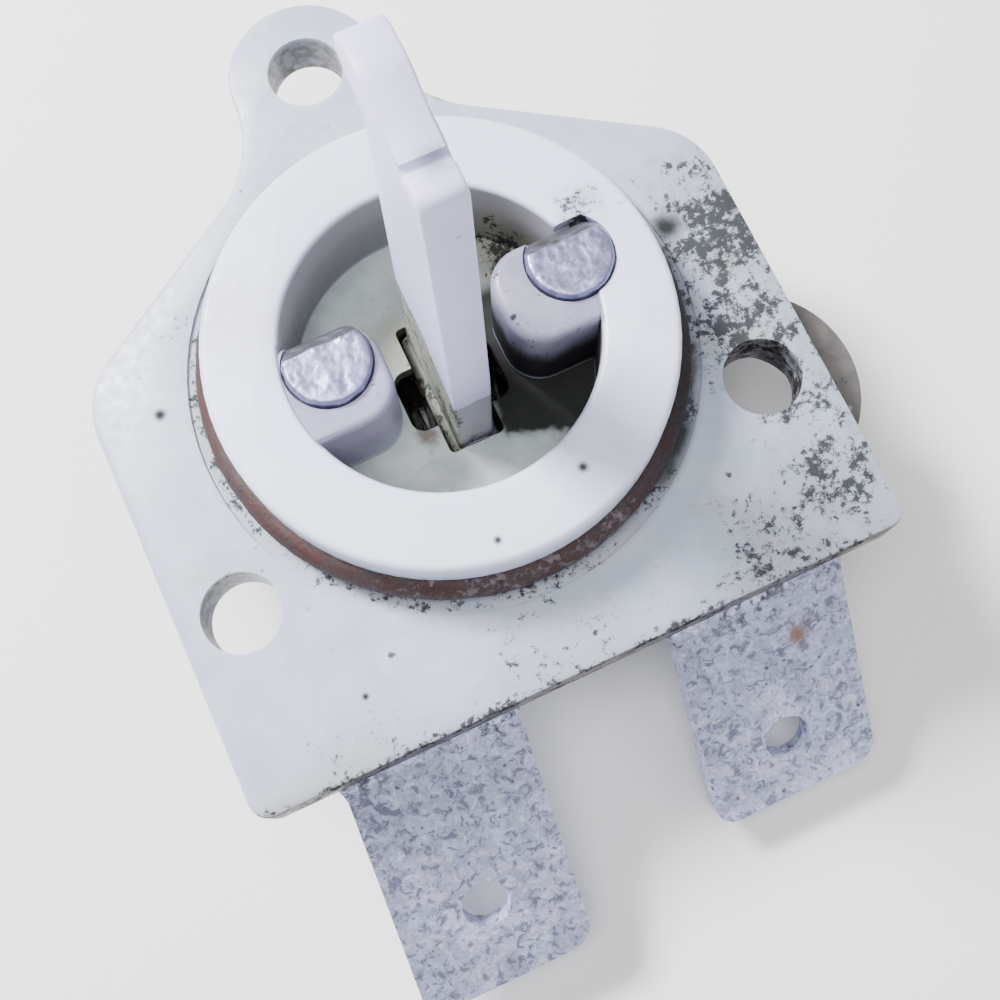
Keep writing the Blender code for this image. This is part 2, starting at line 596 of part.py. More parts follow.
def fold(bm, start, direction, angle, radius, belongs, steps=5):
    """Bends part of a flat sheet down round a line, as a press does.

    start is a point of the bend line in the sheet's middle plane, direction runs flat along the
    sheet away from the fixed part, and belongs picks the vertices that may move.
    """
    turn = math.radians(angle)
    up = Vector((0.0, 0.0, 1.0))
    for i in range(steps + 1):
        everything = list(bm.verts) + list(bm.edges) + list(bm.faces)
        place = start + direction * (radius * turn * i / steps)
        bmesh.ops.bisect_plane(bm, geom=everything, dist=1e-9, plane_co=place, plane_no=direction)
    centre = start - up * radius
    for vert in bm.verts:
        along = (vert.co - start).dot(direction)
        if along <= 1e-9 or not belongs(vert.co):
            continue
        height = (vert.co - start).dot(up)
        across = vert.co - start - direction * along - up * height
        bend = min(along / radius, turn)
        beyond = along - bend * radius
        outwards = direction * math.sin(bend) + up * math.cos(bend)
        onwards = direction * math.cos(bend) - up * math.sin(bend)
        vert.co = centre + outwards * (radius + height) + onwards * beyond + across


def contact_place(side):
    """Where each contact sits along Y: the left terminal's is in front, the right one's behind."""
    return LEVER_MIDDLE + SIDE_SIGN[side] * CONTACT_SPREAD


def leg_lengths():
    """Along the leg's middle: one bend, the straight way down, and the run under the lever."""
    bend = BEND_RADIUS * math.pi / 2
    down = (METAL_TOP - LEG_TOP) - 2 * BEND_RADIUS
    return bend, down, LEG_PLANE - BEND_RADIUS + LEG_REACH


def tab_root():
    """Where the tab's straight sides begin, just outside the plate's straight edge."""
    return -BOTTOM_EDGE - TAB_SHOULDER / 2


def tab_bend(side):
    """Where the tab's bend begins, so that the bent tab's plane meets the plate's edge."""
    return -BOTTOM_EDGE + BEND_RADIUS * math.tan(math.radians(TAB_TILT[side]) / 2)


def terminal_outline(side):
    """The flat blank: tab, wide body, neck up to the stud, and the leg out to one side."""
    root = abs(TAB_ROOT[side])
    inner, outer = root - TAB_WIDTH / 2, root + TAB_WIDTH / 2
    lean = -SIDE_SIGN[side] * math.tan(math.radians(TAB_LEAN))
    tip = -BOTTOM_EDGE - TAB_LENGTH[side]
    body_top = -BOTTOM_EDGE + BODY_LENGTH
    stud, pad = (STUD_PLACE[side], STUD_LIFT), STUD_HEAD_RADIUS
    leg_middle = contact_place(side)
    bend, down, under = leg_lengths()
    leg_end = NECK_OUTER + 2 * bend + down + under
    leg = [(NECK_OUTER, leg_middle - LEG_HALF_WIDTH), (leg_end, leg_middle - LEG_HALF_WIDTH)]
    leg += [(leg_end, leg_middle + LEG_HALF_WIDTH), (NECK_OUTER, leg_middle + LEG_HALF_WIDTH)]
    outer_angle = math.degrees(math.acos((NECK_OUTER - stud[0]) / pad))
    inner_angle = 360 - math.degrees(math.acos(max(-1.0, (NECK_INNER - stud[0]) / pad)))

    tab = rounded_corner((inner, tip), TAB_CORNER, 180) + rounded_corner((outer, tip), TAB_CORNER, 270)
    outline = [(x + lean * (tab_root() - y), y) for x, y in tab]
    outline += arc((outer + TAB_SHOULDER, tab_root()), TAB_SHOULDER, 180, 90, 4)
    outline += [(outer + TAB_SHOULDER, body_top), (NECK_OUTER, body_top)]
    if leg_middle < STUD_LIFT:
        outline += leg + arc(stud, pad, -outer_angle, inner_angle, 16)
    else:
        outline += arc(stud, pad, -outer_angle, outer_angle, 16) + leg
        outline += [(NECK_INNER, leg_middle + LEG_HALF_WIDTH)]
    outline += [(NECK_INNER, body_top), (inner - TAB_SHOULDER, body_top)]
    outline += arc((inner - TAB_SHOULDER, tab_root()), TAB_SHOULDER, 90, 0, 4)
    return [(SIDE_SIGN[side] * x, y) for x, y in outline]


def make_terminal(side):
    """A stamped blade terminal, with its tab bent back and its leg folded under the lever."""
    sign = SIDE_SIGN[side]
    bm = extrude_bmesh(terminal_outline(side), METAL_BACK, METAL_TOP)
    bmesh.ops.triangulate(bm, faces=bm.faces)
    middle = (METAL_TOP + METAL_BACK) / 2
    outwards = Vector((sign, 0.0, 0.0))
    bend, down, _ = leg_lengths()
    leg_middle = contact_place(side)

    def on_leg(co):
        return abs(co.y - leg_middle) < LEG_HALF_WIDTH + SEAT_GAP / 2 and sign * co.x > NECK_OUTER

    for distance in (bend + down, 0.0):
        place = Vector((sign * (NECK_OUTER + distance), 0.0, middle))
        fold(bm, place, outwards, 90, BEND_RADIUS, on_leg)
    straight_down = Vector((0.0, -1.0, 0.0))
    place = Vector((0.0, tab_bend(side), middle))
    fold(bm, place, straight_down, TAB_TILT[side], BEND_RADIUS, lambda co: True)
    terminal = place_mesh(f"terminal_{side}", bm)
    x, y = stud_position(side)
    bore = rod(f"terminal_bore_{side}", STUD_SHANK_RADIUS + RUNNING_GAP, METAL_BACK - TRIM, METAL_TOP + TRIM,
               SMALL_STEPS, (x, y, 0.0))
    rivet = rod(f"contact_bore_{side}", CONTACT_SHANK + RUNNING_GAP, LEG_BACK - TRIM, LEG_TOP + TRIM,
                SMALL_STEPS, (0.0, leg_middle, 0.0))
    cut_all(terminal, [bore, rivet, tab_hole(side)])
    return finish(terminal, "tinned_brass")


def tab_hole(side):
    """A round cutter through the bent tab, square to its face."""
    turn = math.radians(TAB_TILT[side])
    bend_end = Vector((TAB_ROOT[side], tab_bend(side), (METAL_TOP + METAL_BACK) / 2))
    bend_end += Vector((0.0, -math.sin(turn), math.cos(turn) - 1)) * BEND_RADIUS
    along = Vector((0.0, -math.cos(turn), -math.sin(turn)))
    flat_place = -BOTTOM_EDGE - TAB_LENGTH[side] + TAB_HOLE_FROM_TIP[side]
    distance = tab_bend(side) - flat_place - BEND_RADIUS * turn
    aside = -math.tan(math.radians(TAB_LEAN)) * (tab_root() - flat_place)
    cutter = rod(f"tab_hole_{side}", TAB_HOLE_RADIUS, -METAL_THICKNESS, METAL_THICKNESS, SMALL_STEPS)
    cutter.location = bend_end + along * distance + Vector((aside, 0.0, 0.0))
    cutter.rotation_euler = (turn, 0.0, 0.0)
    return cutter


def dome_profile(radius, shank_low, seat, dome_top):
    """Half section of a contact button: a shank below its seat and a low dome above."""
    height = dome_top - seat
    cap = (radius**2 + height**2) / (2 * height)
    widest = math.degrees(math.asin(radius / cap))
    centre = dome_top - cap
    points = [(0.0, shank_low), (CONTACT_SHANK, shank_low), (CONTACT_SHANK, seat)]
    return points + arc((0.0, centre), cap, 90 - widest, 90, 5)


def make_fixed_contact(side):
    profile = dome_profile(CONTACT_RADIUS, LEG_BACK + SEAT_GAP, LEG_TOP + SEAT_GAP, FIXED_TOP)
    place = (0.0, contact_place(side), 0.0)
    return finish(turned(f"fixed_contact_{side}", profile, SMALL_STEPS, place), "contact_silver")


def make_bridge_contact(side):
    """A button riveted in the bridge, its dome downwards."""
    shank_top = BRIDGE_TOP - SEAT_GAP
    seat = BRIDGE_BACK - SEAT_GAP
    profile = [(r, -z) for r, z in dome_profile(CONTACT_RADIUS, -shank_top, -seat, -(seat - CONTACT_DOME))]
    place = (0.0, contact_place(side), 0.0)
    return finish(turned(f"bridge_contact_{side}", profile, SMALL_STEPS, place), "contact_silver")


def make_contact_bridge():
    """A brass strip under the lever's tail that carries the two moving contacts."""
    reach = CONTACT_SPREAD + BRIDGE_HALF_WIDTH
    outline = rounded_rectangle(BRIDGE_HALF_WIDTH, reach, reach, BRIDGE_HALF_WIDTH * 0.8)
    bridge = prism("contact_bridge", outline, BRIDGE_BACK, BRIDGE_TOP, location=(0.0, LEVER_MIDDLE, 0.0))
    low, high = BRIDGE_BACK - TRIM, BRIDGE_TOP + TRIM
    holes = [rod(f"bridge_hole_{side}", CONTACT_SHANK + RUNNING_GAP, low, high, SMALL_STEPS,
                 (0.0, contact_place(side), 0.0)) for side in SIDE_SIGN]
    holes.append(rod("bridge_hole_middle", BRIDGE_RIVET_RADIUS + RUNNING_GAP, low, high, SMALL_STEPS,
                     (0.0, LEVER_MIDDLE, 0.0)))
    cut_all(bridge, holes)
    return finish(bridge, "bridge_brass")


def make_bridge_rivet():
    """The rivet that holds the bridge to the lever's tail."""
    head_top = BRIDGE_BACK - SEAT_GAP
    low = head_top - BRIDGE_RIVET_HEIGHT
    profile = [(0.0, low), (BRIDGE_RIVET_HEAD * RIVET_FLAT, low)]
    profile += [(BRIDGE_RIVET_HEAD, head_top - BRIDGE_RIVET_HEIGHT / 2), (BRIDGE_RIVET_HEAD, head_top)]
    profile += [(BRIDGE_RIVET_RADIUS, head_top), (BRIDGE_RIVET_RADIUS, TAIL_BOTTOM + BRIDGE_RIVET_DEPTH)]
    profile += [(0.0, TAIL_BOTTOM + BRIDGE_RIVET_DEPTH)]
    rivet = turned("bridge_rivet", profile, SMALL_STEPS, (0.0, LEVER_MIDDLE, 0.0))
    return finish(rivet, "steel")


def make_centring_spring(side):
    """A compression spring between the lever's tail and the cover's seat, along X."""
    start = BLADE_THICKNESS / 2 + SEAT_GAP + SPRING_WIRE / 2
    end = SEAT_POST_PLACE - SEAT_GAP - SPRING_WIRE / 2
    points = SPRING_TURNS * SPRING_STEPS
    sign = SIDE_SIGN[side]
    curve = bpy.data.curves.new(f"centring_spring_{side}", "CURVE")
    curve.dimensions = "3D"
    curve.bevel_depth = SPRING_WIRE / 2
    curve.bevel_resolution = 1
    curve.use_fill_caps = True
    spline = curve.splines.new("POLY")
    spline.points.add(points)
    for i, point in enumerate(spline.points):
        turn = math.tau * i / SPRING_STEPS
        share = i / points
        eased = share - SPRING_SQUEEZE * math.sin(math.tau * share)
        place = sign * (start + (end - start) * eased)
        point.co = (place, SPRING_RADIUS * math.cos(turn), SPRING_RADIUS * math.sin(turn), 1.0)
    spring = bpy.data.objects.new(f"centring_spring_{side}", curve)
    spring.location = (0.0, LEVER_MIDDLE, SPRING_Z)
    bpy.context.scene.collection.objects.link(spring)
    return finish(spring, "steel")


def channel_cutters():
    """Room in the cover's rim for the terminals' necks and bodies."""
    low, high = METAL_BACK - 2 * SEAT_GAP, COVER_HEIGHT + TRIM / 2
    side_gap = 2 * SEAT_GAP
    cutters = []
    for side, sign in SIDE_SIGN.items():
        root = abs(TAB_ROOT[side])
        outer = root + TAB_WIDTH / 2 + TAB_SHOULDER + side_gap
        inner = root - TAB_WIDTH / 2 - TAB_SHOULDER - side_gap
        neck = sorted((sign * (NECK_OUTER + side_gap), sign * (NECK_INNER - side_gap)))
        body = sorted((sign * outer, sign * inner))
        top = -BOTTOM_EDGE + BODY_LENGTH + side_gap
        cutters.append(box(f"neck_channel_{side}", (neck[0], -COVER_RADIUS - CHANNEL_REACH, low),
                           (neck[1], 0.0, high)))
        cutters.append(box(f"body_channel_{side}", (body[0], -BOTTOM_EDGE - CHANNEL_REACH, low),
                           (body[1], top, high)))
    return cutters


def seat_post(side):
    """A block on the cover's floor that the spring pushes on, with a nub inside the coil."""
    sign = SIDE_SIGN[side]
    near, far = sign * SEAT_POST_PLACE, sign * (SEAT_POST_PLACE + SEAT_POST_DEPTH)
    half = SEAT_POST_WIDTH / 2
    top = SPRING_Z + SPRING_RADIUS + SPRING_WIRE / 2 + SEAT_POST_MARGIN
    block = box(f"seat_post_{side}", (min(near, far), LEVER_MIDDLE - half, COVER_FLOOR / 2),
                (max(near, far), LEVER_MIDDLE + half, top))
    nub = sorted((near - sign * NUB_LENGTH, near + sign * SEAT_POST_DEPTH / 2))
    tip = rod(f"seat_nub_{side}", NUB_RADIUS, nub[0], nub[1], SMALL_STEPS, (0.0, LEVER_MIDDLE, SPRING_Z), "x")
    return [block, tip]


def screw_ear(side):
    """A lug on the cover's wall with a round end."""
    x, y = screw_position(side)
    turn = SCREW_ANGLES[side]
    root = Vector((x, y)) * (COVER_RADIUS - COVER_WALL / 2) / SCREW_CIRCLE
    across = Vector((-y, x)).normalized() * SCREW_EAR_RADIUS
    outline = arc((x, y), SCREW_EAR_RADIUS, turn - 90, turn + 90, 14)
    outline += [tuple(root + across), tuple(root - across)]
    return prism(f"screw_ear_{side}", outline, COVER_HEIGHT - SCREW_EAR_THICKNESS, COVER_HEIGHT + TRIM)


def make_rear_cover():
    """A round cup with a flat back, three screw ears and one round lug behind a mounting hole."""
    tall = COVER_HEIGHT + TRIM
    profile = [(0.0, 0.0)] + arc((COVER_RADIUS - COVER_EDGE, COVER_EDGE), COVER_EDGE, -90, 0, 3)
    profile += [(COVER_RADIUS, tall), (COVER_INNER, tall), (COVER_INNER, COVER_FLOOR), (0.0, COVER_FLOOR)]
    cover = turned("rear_cover", profile, ROUND_STEPS)
    lug_x, lug_y = hole_positions()["right"]
    lug_low = COVER_HEIGHT - LUG_THICKNESS
    ring = [(LUG_BORE_RADIUS, lug_low), (LUG_RADIUS, lug_low), (LUG_RADIUS, tall), (LUG_BORE_RADIUS, tall)]
    lug = turned("cover_lug", ring, LUG_STEPS, (lug_x, lug_y, 0.0))
    cut_all(lug, [rod("lug_trim", COVER_RADIUS - COVER_WALL / 2, lug_low - TRIM, tall + TRIM, ROUND_STEPS)])
    ears = [screw_ear(side) for side in SCREW_ANGLES]
    join_all(cover, [lug] + ears + seat_post("left") + seat_post("right"))
    cutters = []
    for side in SCREW_ANGLES:
        x, y = screw_position(side)
        low = COVER_HEIGHT - SCREW_EAR_THICKNESS - TRIM
        cutters.append(rod(f"ear_hole_{side}", SCREW_RADIUS + RUNNING_GAP, low, tall + TRIM, SMALL_STEPS,
                           (x, y, 0.0)))
    reach = COVER_RADIUS + 2 * LUG_RADIUS
    top_trim = box("top_trim", (-reach, -reach, COVER_HEIGHT), (reach, reach, tall + TRIM))
    cut_all(cover, cutters + channel_cutters() + [top_trim])
    return finish(cover, "cover_plastic")


def make_cover_screw(side):
    """A slotted pan-head screw, driven from the back."""
    x, y = screw_position(side)
    seat = COVER_HEIGHT - SCREW_EAR_THICKNESS - SEAT_GAP
    head = seat - SCREW_HEAD_HEIGHT
    tip = PLATE_BACK + SCREW_BITE
    edge = SCREW_HEAD_HEIGHT / 3
    profile = [(0.0, head), (SCREW_HEAD_RADIUS - edge, head), (SCREW_HEAD_RADIUS, head + edge)]
    profile += [(SCREW_HEAD_RADIUS, seat), (SCREW_RADIUS, seat), (SCREW_RADIUS, tip - SCREW_RADIUS)]
    profile += [(SCREW_RADIUS / 3, tip), (0.0, tip)]
    screw = turned(f"cover_screw_{side}", profile, SMALL_STEPS, (x, y, 0.0))
    half = SCREW_SLOT_WIDTH / 2
    reach = SCREW_HEAD_RADIUS + TRIM
    slot = box(f"screw_slot_{side}", (x - reach, y - half, head - TRIM),
               (x + reach, y + half, head + SCREW_SLOT_DEPTH))
    cut_all(screw, [slot])
    return finish(screw, "steel")


def hang_on_pivot(pieces):
    """Parents the rocking pieces to an empty on the pin's axis."""
    pivot = bpy.data.objects.new("lever_pivot", None)
    pivot.location = (0.0, LEVER_MIDDLE, PIVOT_Z)
    bpy.context.scene.collection.objects.link(pivot)
    bpy.context.view_layer.update()
    for piece in pieces:
        piece.parent = pivot
        piece.matrix_parent_inverse = pivot.matrix_world.inverted()


def main():
    clear_scene()
    make_flange_body()
    make_seal_ring()
    make_pivot_pin()
    make_pin_clips()
    make_rear_cover()
    rocking = [make_blade_lever(), make_contact_bridge(), make_bridge_rivet()]
    for side in SIDE_SIGN:
        make_contact_stud(side)
        make_stud_washer(side)
        make_terminal(side)
        make_fixed_contact(side)
        make_centring_spring(side)
        rocking.append(make_bridge_contact(side))
    for side in SCREW_ANGLES:
        make_cover_screw(side)
    hang_on_pivot(rocking)


main()
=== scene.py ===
"""Finish for the blade lever switch.

Each operator makes one piece, or one group of like pieces, round the fixed CAD frame: the aged nylon
flange with mould in its corners, the dusty seal, the worn blade, the riveted studs and the dull tabs.
"""

import math

import bpy
from mathutils import Matrix, Vector, noise


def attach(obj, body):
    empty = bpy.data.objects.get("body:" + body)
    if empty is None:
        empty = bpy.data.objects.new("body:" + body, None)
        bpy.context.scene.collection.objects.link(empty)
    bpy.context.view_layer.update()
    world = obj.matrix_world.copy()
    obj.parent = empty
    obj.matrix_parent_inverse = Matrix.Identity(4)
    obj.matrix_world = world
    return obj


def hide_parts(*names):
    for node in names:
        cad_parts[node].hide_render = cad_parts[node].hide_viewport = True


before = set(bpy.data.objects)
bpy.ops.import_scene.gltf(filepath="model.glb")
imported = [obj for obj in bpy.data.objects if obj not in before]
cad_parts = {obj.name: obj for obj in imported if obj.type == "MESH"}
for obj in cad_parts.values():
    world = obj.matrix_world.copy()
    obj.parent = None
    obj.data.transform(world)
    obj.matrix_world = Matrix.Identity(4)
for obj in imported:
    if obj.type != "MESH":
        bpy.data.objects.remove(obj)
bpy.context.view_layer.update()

bl_info = {
    "name": "Blade lever switch finish",
    "version": (1, 0, 0),
    "blender": (4, 5, 0),
    "location": "3D View > Sidebar > Blade Switch",
    "description": "Makes the visible pieces, materials and stage of a blade lever switch",
    "category": "Object",
}

MM = 0.001
TO_MM = 1000.0

# Heights, in mm
FLOOR_TOP = 11.15             # the recess floor
PLATE_TOP = 13.0
RIM_TOP = 16.92               # the spigot's ring

# Second tones, into which a clean colour shades
WORN_NYLON = (0.45, 0.50, 0.61)
# Painted shade on the recess wall: dark low down, lighter near the rim
DEEP_WALL_SHADE = (0.17, 0.16, 0.155)
UPPER_WALL_SHADE = (0.36, 0.35, 0.36)
WORN_POST = (0.34, 0.33, 0.47)
MILKY_FLOOR = (0.46, 0.52, 0.53)
MOULD_HAZE = (0.20, 0.20, 0.19)
# Dirt and painted shade on the plate's front side face
EDGE_DIRT_AND_SHADE = (0.05, 0.045, 0.045)
# Painted shade in the bores of the plate's holes
BORE_SHADE = (0.045, 0.04, 0.04)
# Painted shade below the recess floor, seen through the slots
SLOT_SHADE = (0.035, 0.02, 0.015)
PALE_BLADE = (0.67, 0.67, 0.92)
# The blade's foot below the rim's level: dirt and painted shade, with greenish grime on the left
GREY_FOOT_DIRT_AND_SHADE = (0.24, 0.24, 0.28)
GREENISH_FOOT_GRIME_AND_SHADE = (0.30, 0.32, 0.22)
FOOT_LINE = (0.16, 0.15, 0.16)
WORN_RUBBER = (0.045, 0.028, 0.03)
# The seal's darker tone towards +x
RIGHT_SIDE_RUBBER = (0.008, 0.006, 0.008)
SEAL_DUST = (0.20, 0.17, 0.20)
SEAL_FLECKS = (0.02, 0.015, 0.015)
PALE_TIN = (0.60, 0.64, 0.90)
DARK_CRUST = (0.21, 0.22, 0.34)
BRIGHT_CRUST = (0.80, 0.84, 1.0)
TAB_RUST = (0.20, 0.075, 0.02)
WORN_STUD = (0.22, 0.22, 0.34)
# Painted shade on the studs' faces that point to +y
STUD_FLAT_SHADE = (0.15, 0.15, 0.145)
PALE_COVER = (0.12, 0.11, 0.105)
COVER_SCUFF = (0.42, 0.40, 0.38)

# Where mould has spread over the plate: place, radius and density
MOULDY_PLACES = (
    ((16.0, 0.6, PLATE_TOP), 5.0, 1.15), ((14.2, -4.2, PLATE_TOP), 4.4, 1.1),
    ((15.2, -13.2, PLATE_TOP), 4.6, 0.9), ((10.6, -15.6, PLATE_TOP), 4.4, 0.8),
    ((-1.0, -15.9, PLATE_TOP), 4.8, 0.6), ((-14.2, -6.0, PLATE_TOP), 2.2, 0.5),
    ((15.2, -8.6, 12.0), 3.6, 1.0), ((-11.0, -16.7, PLATE_TOP), 3.4, 0.55),
    ((-10.5, 6.5, PLATE_TOP), 3.0, 0.4))

# Single dark spots: place and radius
DARK_SPOTS = (
    ((13.3, 1.75, PLATE_TOP), 1.0), ((3.26, -8.74, RIM_TOP), 0.3), ((-1.72, -10.19, RIM_TOP), 0.24),
    ((5.9, 13.6, PLATE_TOP), 0.4), ((-13.9, 3.4, PLATE_TOP), 0.35), ((-10.2, -13.6, PLATE_TOP), 0.2))

# The camera, in mm and degrees
CAMERA_PLACE = (-6.458, -21.925, 76.502)
CAMERA_AIM = (-0.478, -7.658, PLATE_TOP)
CAMERA_ROLL = -2.25


class SwitchSizes(bpy.types.PropertyGroup):
    """Sizes that a user would change."""

    tab_edge: bpy.props.FloatProperty(
        name="Tab edge", description="Rounding of the tabs' stamped edges", default=0.13 * MM, min=0.0,
        unit="LENGTH")
    seal_ripple: bpy.props.FloatProperty(
        name="Seal ripple", description="Unevenness of the seal's skin", default=0.035 * MM, min=0.0,
        unit="LENGTH")
    stud_dent: bpy.props.FloatProperty(
        name="Stud dents", description="Depth of the dents in the studs' heads", default=0.05 * MM, min=0.0,
        unit="LENGTH")
    ejector_radius: bpy.props.FloatProperty(
        name="Ejector mark", description="Radius of the mark on the recess floor", default=1.0 * MM, min=0.0,
        unit="LENGTH")
    floor_size: bpy.props.FloatProperty(
        name="Floor", description="Width of the floor", default=1.2, min=0.1, unit="LENGTH")
    lens: bpy.props.FloatProperty(
        name="Lens", description="Focal length of the camera, in millimetres", default=48.4, min=1.0)


def colour_property(name, description, default):
    return bpy.props.FloatVectorProperty(
        name=name, description=description, default=default, size=3, min=0.0, max=1.0, subtype="COLOR")


class SwitchColours(bpy.types.PropertyGroup):
    """Colours that a user would change."""

    nylon: colour_property("Nylon", "Plate of the flange", (0.39, 0.44, 0.57))
    ring: colour_property("Ring", "Top of the spigot", (0.72, 0.76, 0.97))
    post: colour_property("Posts", "Posts in the recess", (0.26, 0.25, 0.38))
    recess: colour_property("Recess", "Recess floor", (0.36, 0.42, 0.42))
    blade: colour_property("Blade", "Blade of the lever", (0.60, 0.60, 0.86))
    # The mould colour also paints the near-black shadow right of the blade in the recess
    mould: colour_property("Mould", "Black specks of mould and dirt", (0.012, 0.011, 0.010))
    stain: colour_property("Stain", "Yellow-brown stains", (0.36, 0.33, 0.20))
    rust: colour_property("Rust", "Rust bleeding out of the slot", (0.09, 0.035, 0.015))
    rubber: colour_property("Seal", "Rubber of the seal", (0.05, 0.016, 0.014))
    tin: colour_property("Tabs", "Tinned sheet of the tabs", (0.45, 0.48, 0.70))
    stud: colour_property("Studs", "Plating of the studs", (0.36, 0.36, 0.58))
    # The cover's dark grey-brown is partly painted shade under the plate
    cover: colour_property("Cover", "Moulding of the rear cover", (0.075, 0.068, 0.068))
    floor: colour_property("Floor", "Floor under the switch", (0.92, 0.92, 0.92))


# Shader helpers


class Graph:
    """Adds nodes to a material or group and links them."""

    def __init__(self, tree):
        self.tree = tree

    def add(self, kind, feeds=None, **settings):
        node = self.tree.nodes.new(kind)
        for key, value in settings.items():
            setattr(node, key, value)
        for key, value in (feeds or {}).items():
            self.feed(node.inputs[key], value)
        return node

    def feed(self, socket, value):
        if isinstance(value, bpy.types.NodeSocket):
            self.tree.links.new(value, socket)
        else:
            socket.default_value = value

    def math(self, operation, a, b=0.0, c=0.0, clamp=False):
        node = self.add("ShaderNodeMath", {0: a, 1: b, 2: c}, operation=operation, use_clamp=clamp)
        return node.outputs[0]

    def vector(self, operation, a, b=(0.0, 0.0, 0.0)):
        node = self.add("ShaderNodeVectorMath", {0: a, 1: b}, operation=operation)
        return node.outputs["Value" if operation in ("LENGTH", "DISTANCE", "DOT_PRODUCT") else "Vector"]

    def mix(self, share, a, b, blend="MIX"):
        node = self.add("ShaderNodeMix", data_type="RGBA", blend_type=blend)
        self.feed(node.inputs[0], share)
        self.feed(node.inputs[6], opaque(a))
        self.feed(node.inputs[7], opaque(b))
        return node.outputs[2]

    def ramp(self, value, low, high, out_low=0.0, out_high=1.0):
        """Goes smoothly from out_low to out_high as value goes from low to high."""
        feeds = {"Value": value, "From Min": low, "From Max": high, "To Min": out_low, "To Max": out_high}
        return self.add("ShaderNodeMapRange", feeds, interpolation_type="SMOOTHSTEP").outputs[0]

    def noise(self, vector, scale, detail=4.0, roughness=0.55, distortion=0.0):
        feeds = {"Vector": vector, "Scale": scale, "Detail": detail, "Roughness": roughness,
                 "Distortion": distortion}
        return self.add("ShaderNodeTexNoise", feeds).outputs["Fac"]

    def place(self):
        """Object coordinates in millimetres."""
        coordinates = self.add("ShaderNodeTexCoord").outputs["Object"]
        node = self.add("ShaderNodeVectorMath", {0: coordinates}, operation="SCALE")
        node.inputs["Scale"].default_value = TO_MM
        return node.outputs["Vector"]

    def split(self, vector):
        node = self.add("ShaderNodeSeparateXYZ", {0: vector})
        return node.outputs

    def group(self, tree, **feeds):
        node = self.add("ShaderNodeGroup", node_tree=tree)
        for key, value in feeds.items():
            self.feed(node.inputs[key.replace("_", " ").title()], value)
        return node.outputs

    def bump(self, height, strength, distance, normal=None):
        node = self.add("ShaderNodeBump", {"Height": height, "Strength": strength, "Distance": distance})
        if normal is not None:
            self.feed(node.inputs["Normal"], normal)
        return node.outputs["Normal"]


def opaque(value):
    """A colour of three numbers gets its alpha."""
    if isinstance(value, bpy.types.NodeSocket) or isinstance(value, float):
        return value
    return (*value, 1.0) if len(value) == 3 else tuple(value)


def new_group(name, inputs, outputs):
    """An empty shader group with its sockets. Each input is (name, kind, default)."""
    tree = bpy.data.node_groups.new(name, "ShaderNodeTree")
    for label, kind, default in inputs:
        socket = tree.interface.new_socket(name=label, in_out="INPUT", socket_type=kind)
        if default is not None:
            socket.default_value = default
    for label, kind in outputs:
        tree.interface.new_socket(name=label, in_out="OUTPUT", socket_type=kind)
    graph = Graph(tree)
    start = graph.add("NodeGroupInput")
    end = graph.add("NodeGroupOutput")
    return tree, graph, start.outputs, end.inputs


def patch_group():
    """A ragged round patch about a centre: 1 in the middle, 0 outside."""
    tree, g, given, result = new_group(
        "Ragged patch",
        [("Vector", "NodeSocketVector", None), ("Centre", "NodeSocketVector", (0.0, 0.0, 0.0)),
         ("Radius", "NodeSocketFloat", 1.0), ("Ragged", "NodeSocketFloat", 0.8)],
        [("Mask", "NodeSocketFloat")])
    away = g.math("DIVIDE", g.vector("DISTANCE", given["Vector"], given["Centre"]), given["Radius"])
    wander = g.math("SUBTRACT", g.noise(given["Vector"], 1.1, 5.0), 0.5)
    edge = g.math("ADD", away, g.math("MULTIPLY", wander, g.math("MULTIPLY", given["Ragged"], 2.0)))
    g.feed(result["Mask"], g.ramp(edge, 1.35, 0.15))
    return tree


def speck_group():
    """Scattered specks with uneven outlines, thick in some places and thin in others."""
    tree, g, given, result = new_group(
        "Specks",
        [("Vector", "NodeSocketVector", None), ("Scale", "NodeSocketFloat", 2.0),
         ("Size", "NodeSocketFloat", 0.25), ("Cover", "NodeSocketFloat", 0.3)],
        [("Mask", "NodeSocketFloat")])
    bent = g.add("ShaderNodeVectorMath", {0: g.add("ShaderNodeTexNoise", {
        "Vector": given["Vector"], "Scale": 3.0, "Detail": 3.0}).outputs["Color"]}, operation="SCALE")
    bent.inputs["Scale"].default_value = 0.35
    moved = g.vector("ADD", given["Vector"], bent.outputs["Vector"])
    cells = g.add("ShaderNodeTexVoronoi", {"Vector": moved, "Scale": given["Scale"]}, feature="F1")
    own = g.split(cells.outputs["Color"])
    limit = g.math("MULTIPLY", given["Size"], g.ramp(own[0], 0.0, 1.0, 0.35, 1.3))
    dot = g.ramp(g.math("SUBTRACT", cells.outputs["Distance"], limit), 0.05, -0.05)
    crowd = g.noise(given["Vector"], g.math("MULTIPLY", given["Scale"], 0.22), 3.0)
    kept = g.ramp(g.math("ADD", crowd, g.math("MULTIPLY", own[1], 0.25)),
                  g.math("SUBTRACT", 0.86, g.math("MULTIPLY", given["Cover"], 0.45)),
                  g.math("SUBTRACT", 0.92, g.math("MULTIPLY", given["Cover"], 0.45)))
    g.feed(result["Mask"], g.math("MULTIPLY", dot, kept, clamp=True))
    return tree


def mould_group():
    """Fine black mould: crowded grains where the amount is high, single ones where it is low."""
    tree, g, given, result = new_group(
        "Mould",
        [("Vector", "NodeSocketVector", None), ("Amount", "NodeSocketFloat", 0.5)],
        [("Mask", "NodeSocketFloat")])
    fine = g.noise(given["Vector"], 2.6, 5.0, 0.8)
    coarse = g.noise(given["Vector"], 0.75, 4.0, 0.6)
    grain = g.math("ADD", g.math("MULTIPLY", fine, 0.6), g.math("MULTIPLY", coarse, 0.4))
    limit = g.math("SUBTRACT", 0.64, g.math("MULTIPLY", given["Amount"], 0.17))
    g.feed(result["Mask"], g.ramp(g.math("SUBTRACT", grain, limit), -0.015, 0.055))
    return tree


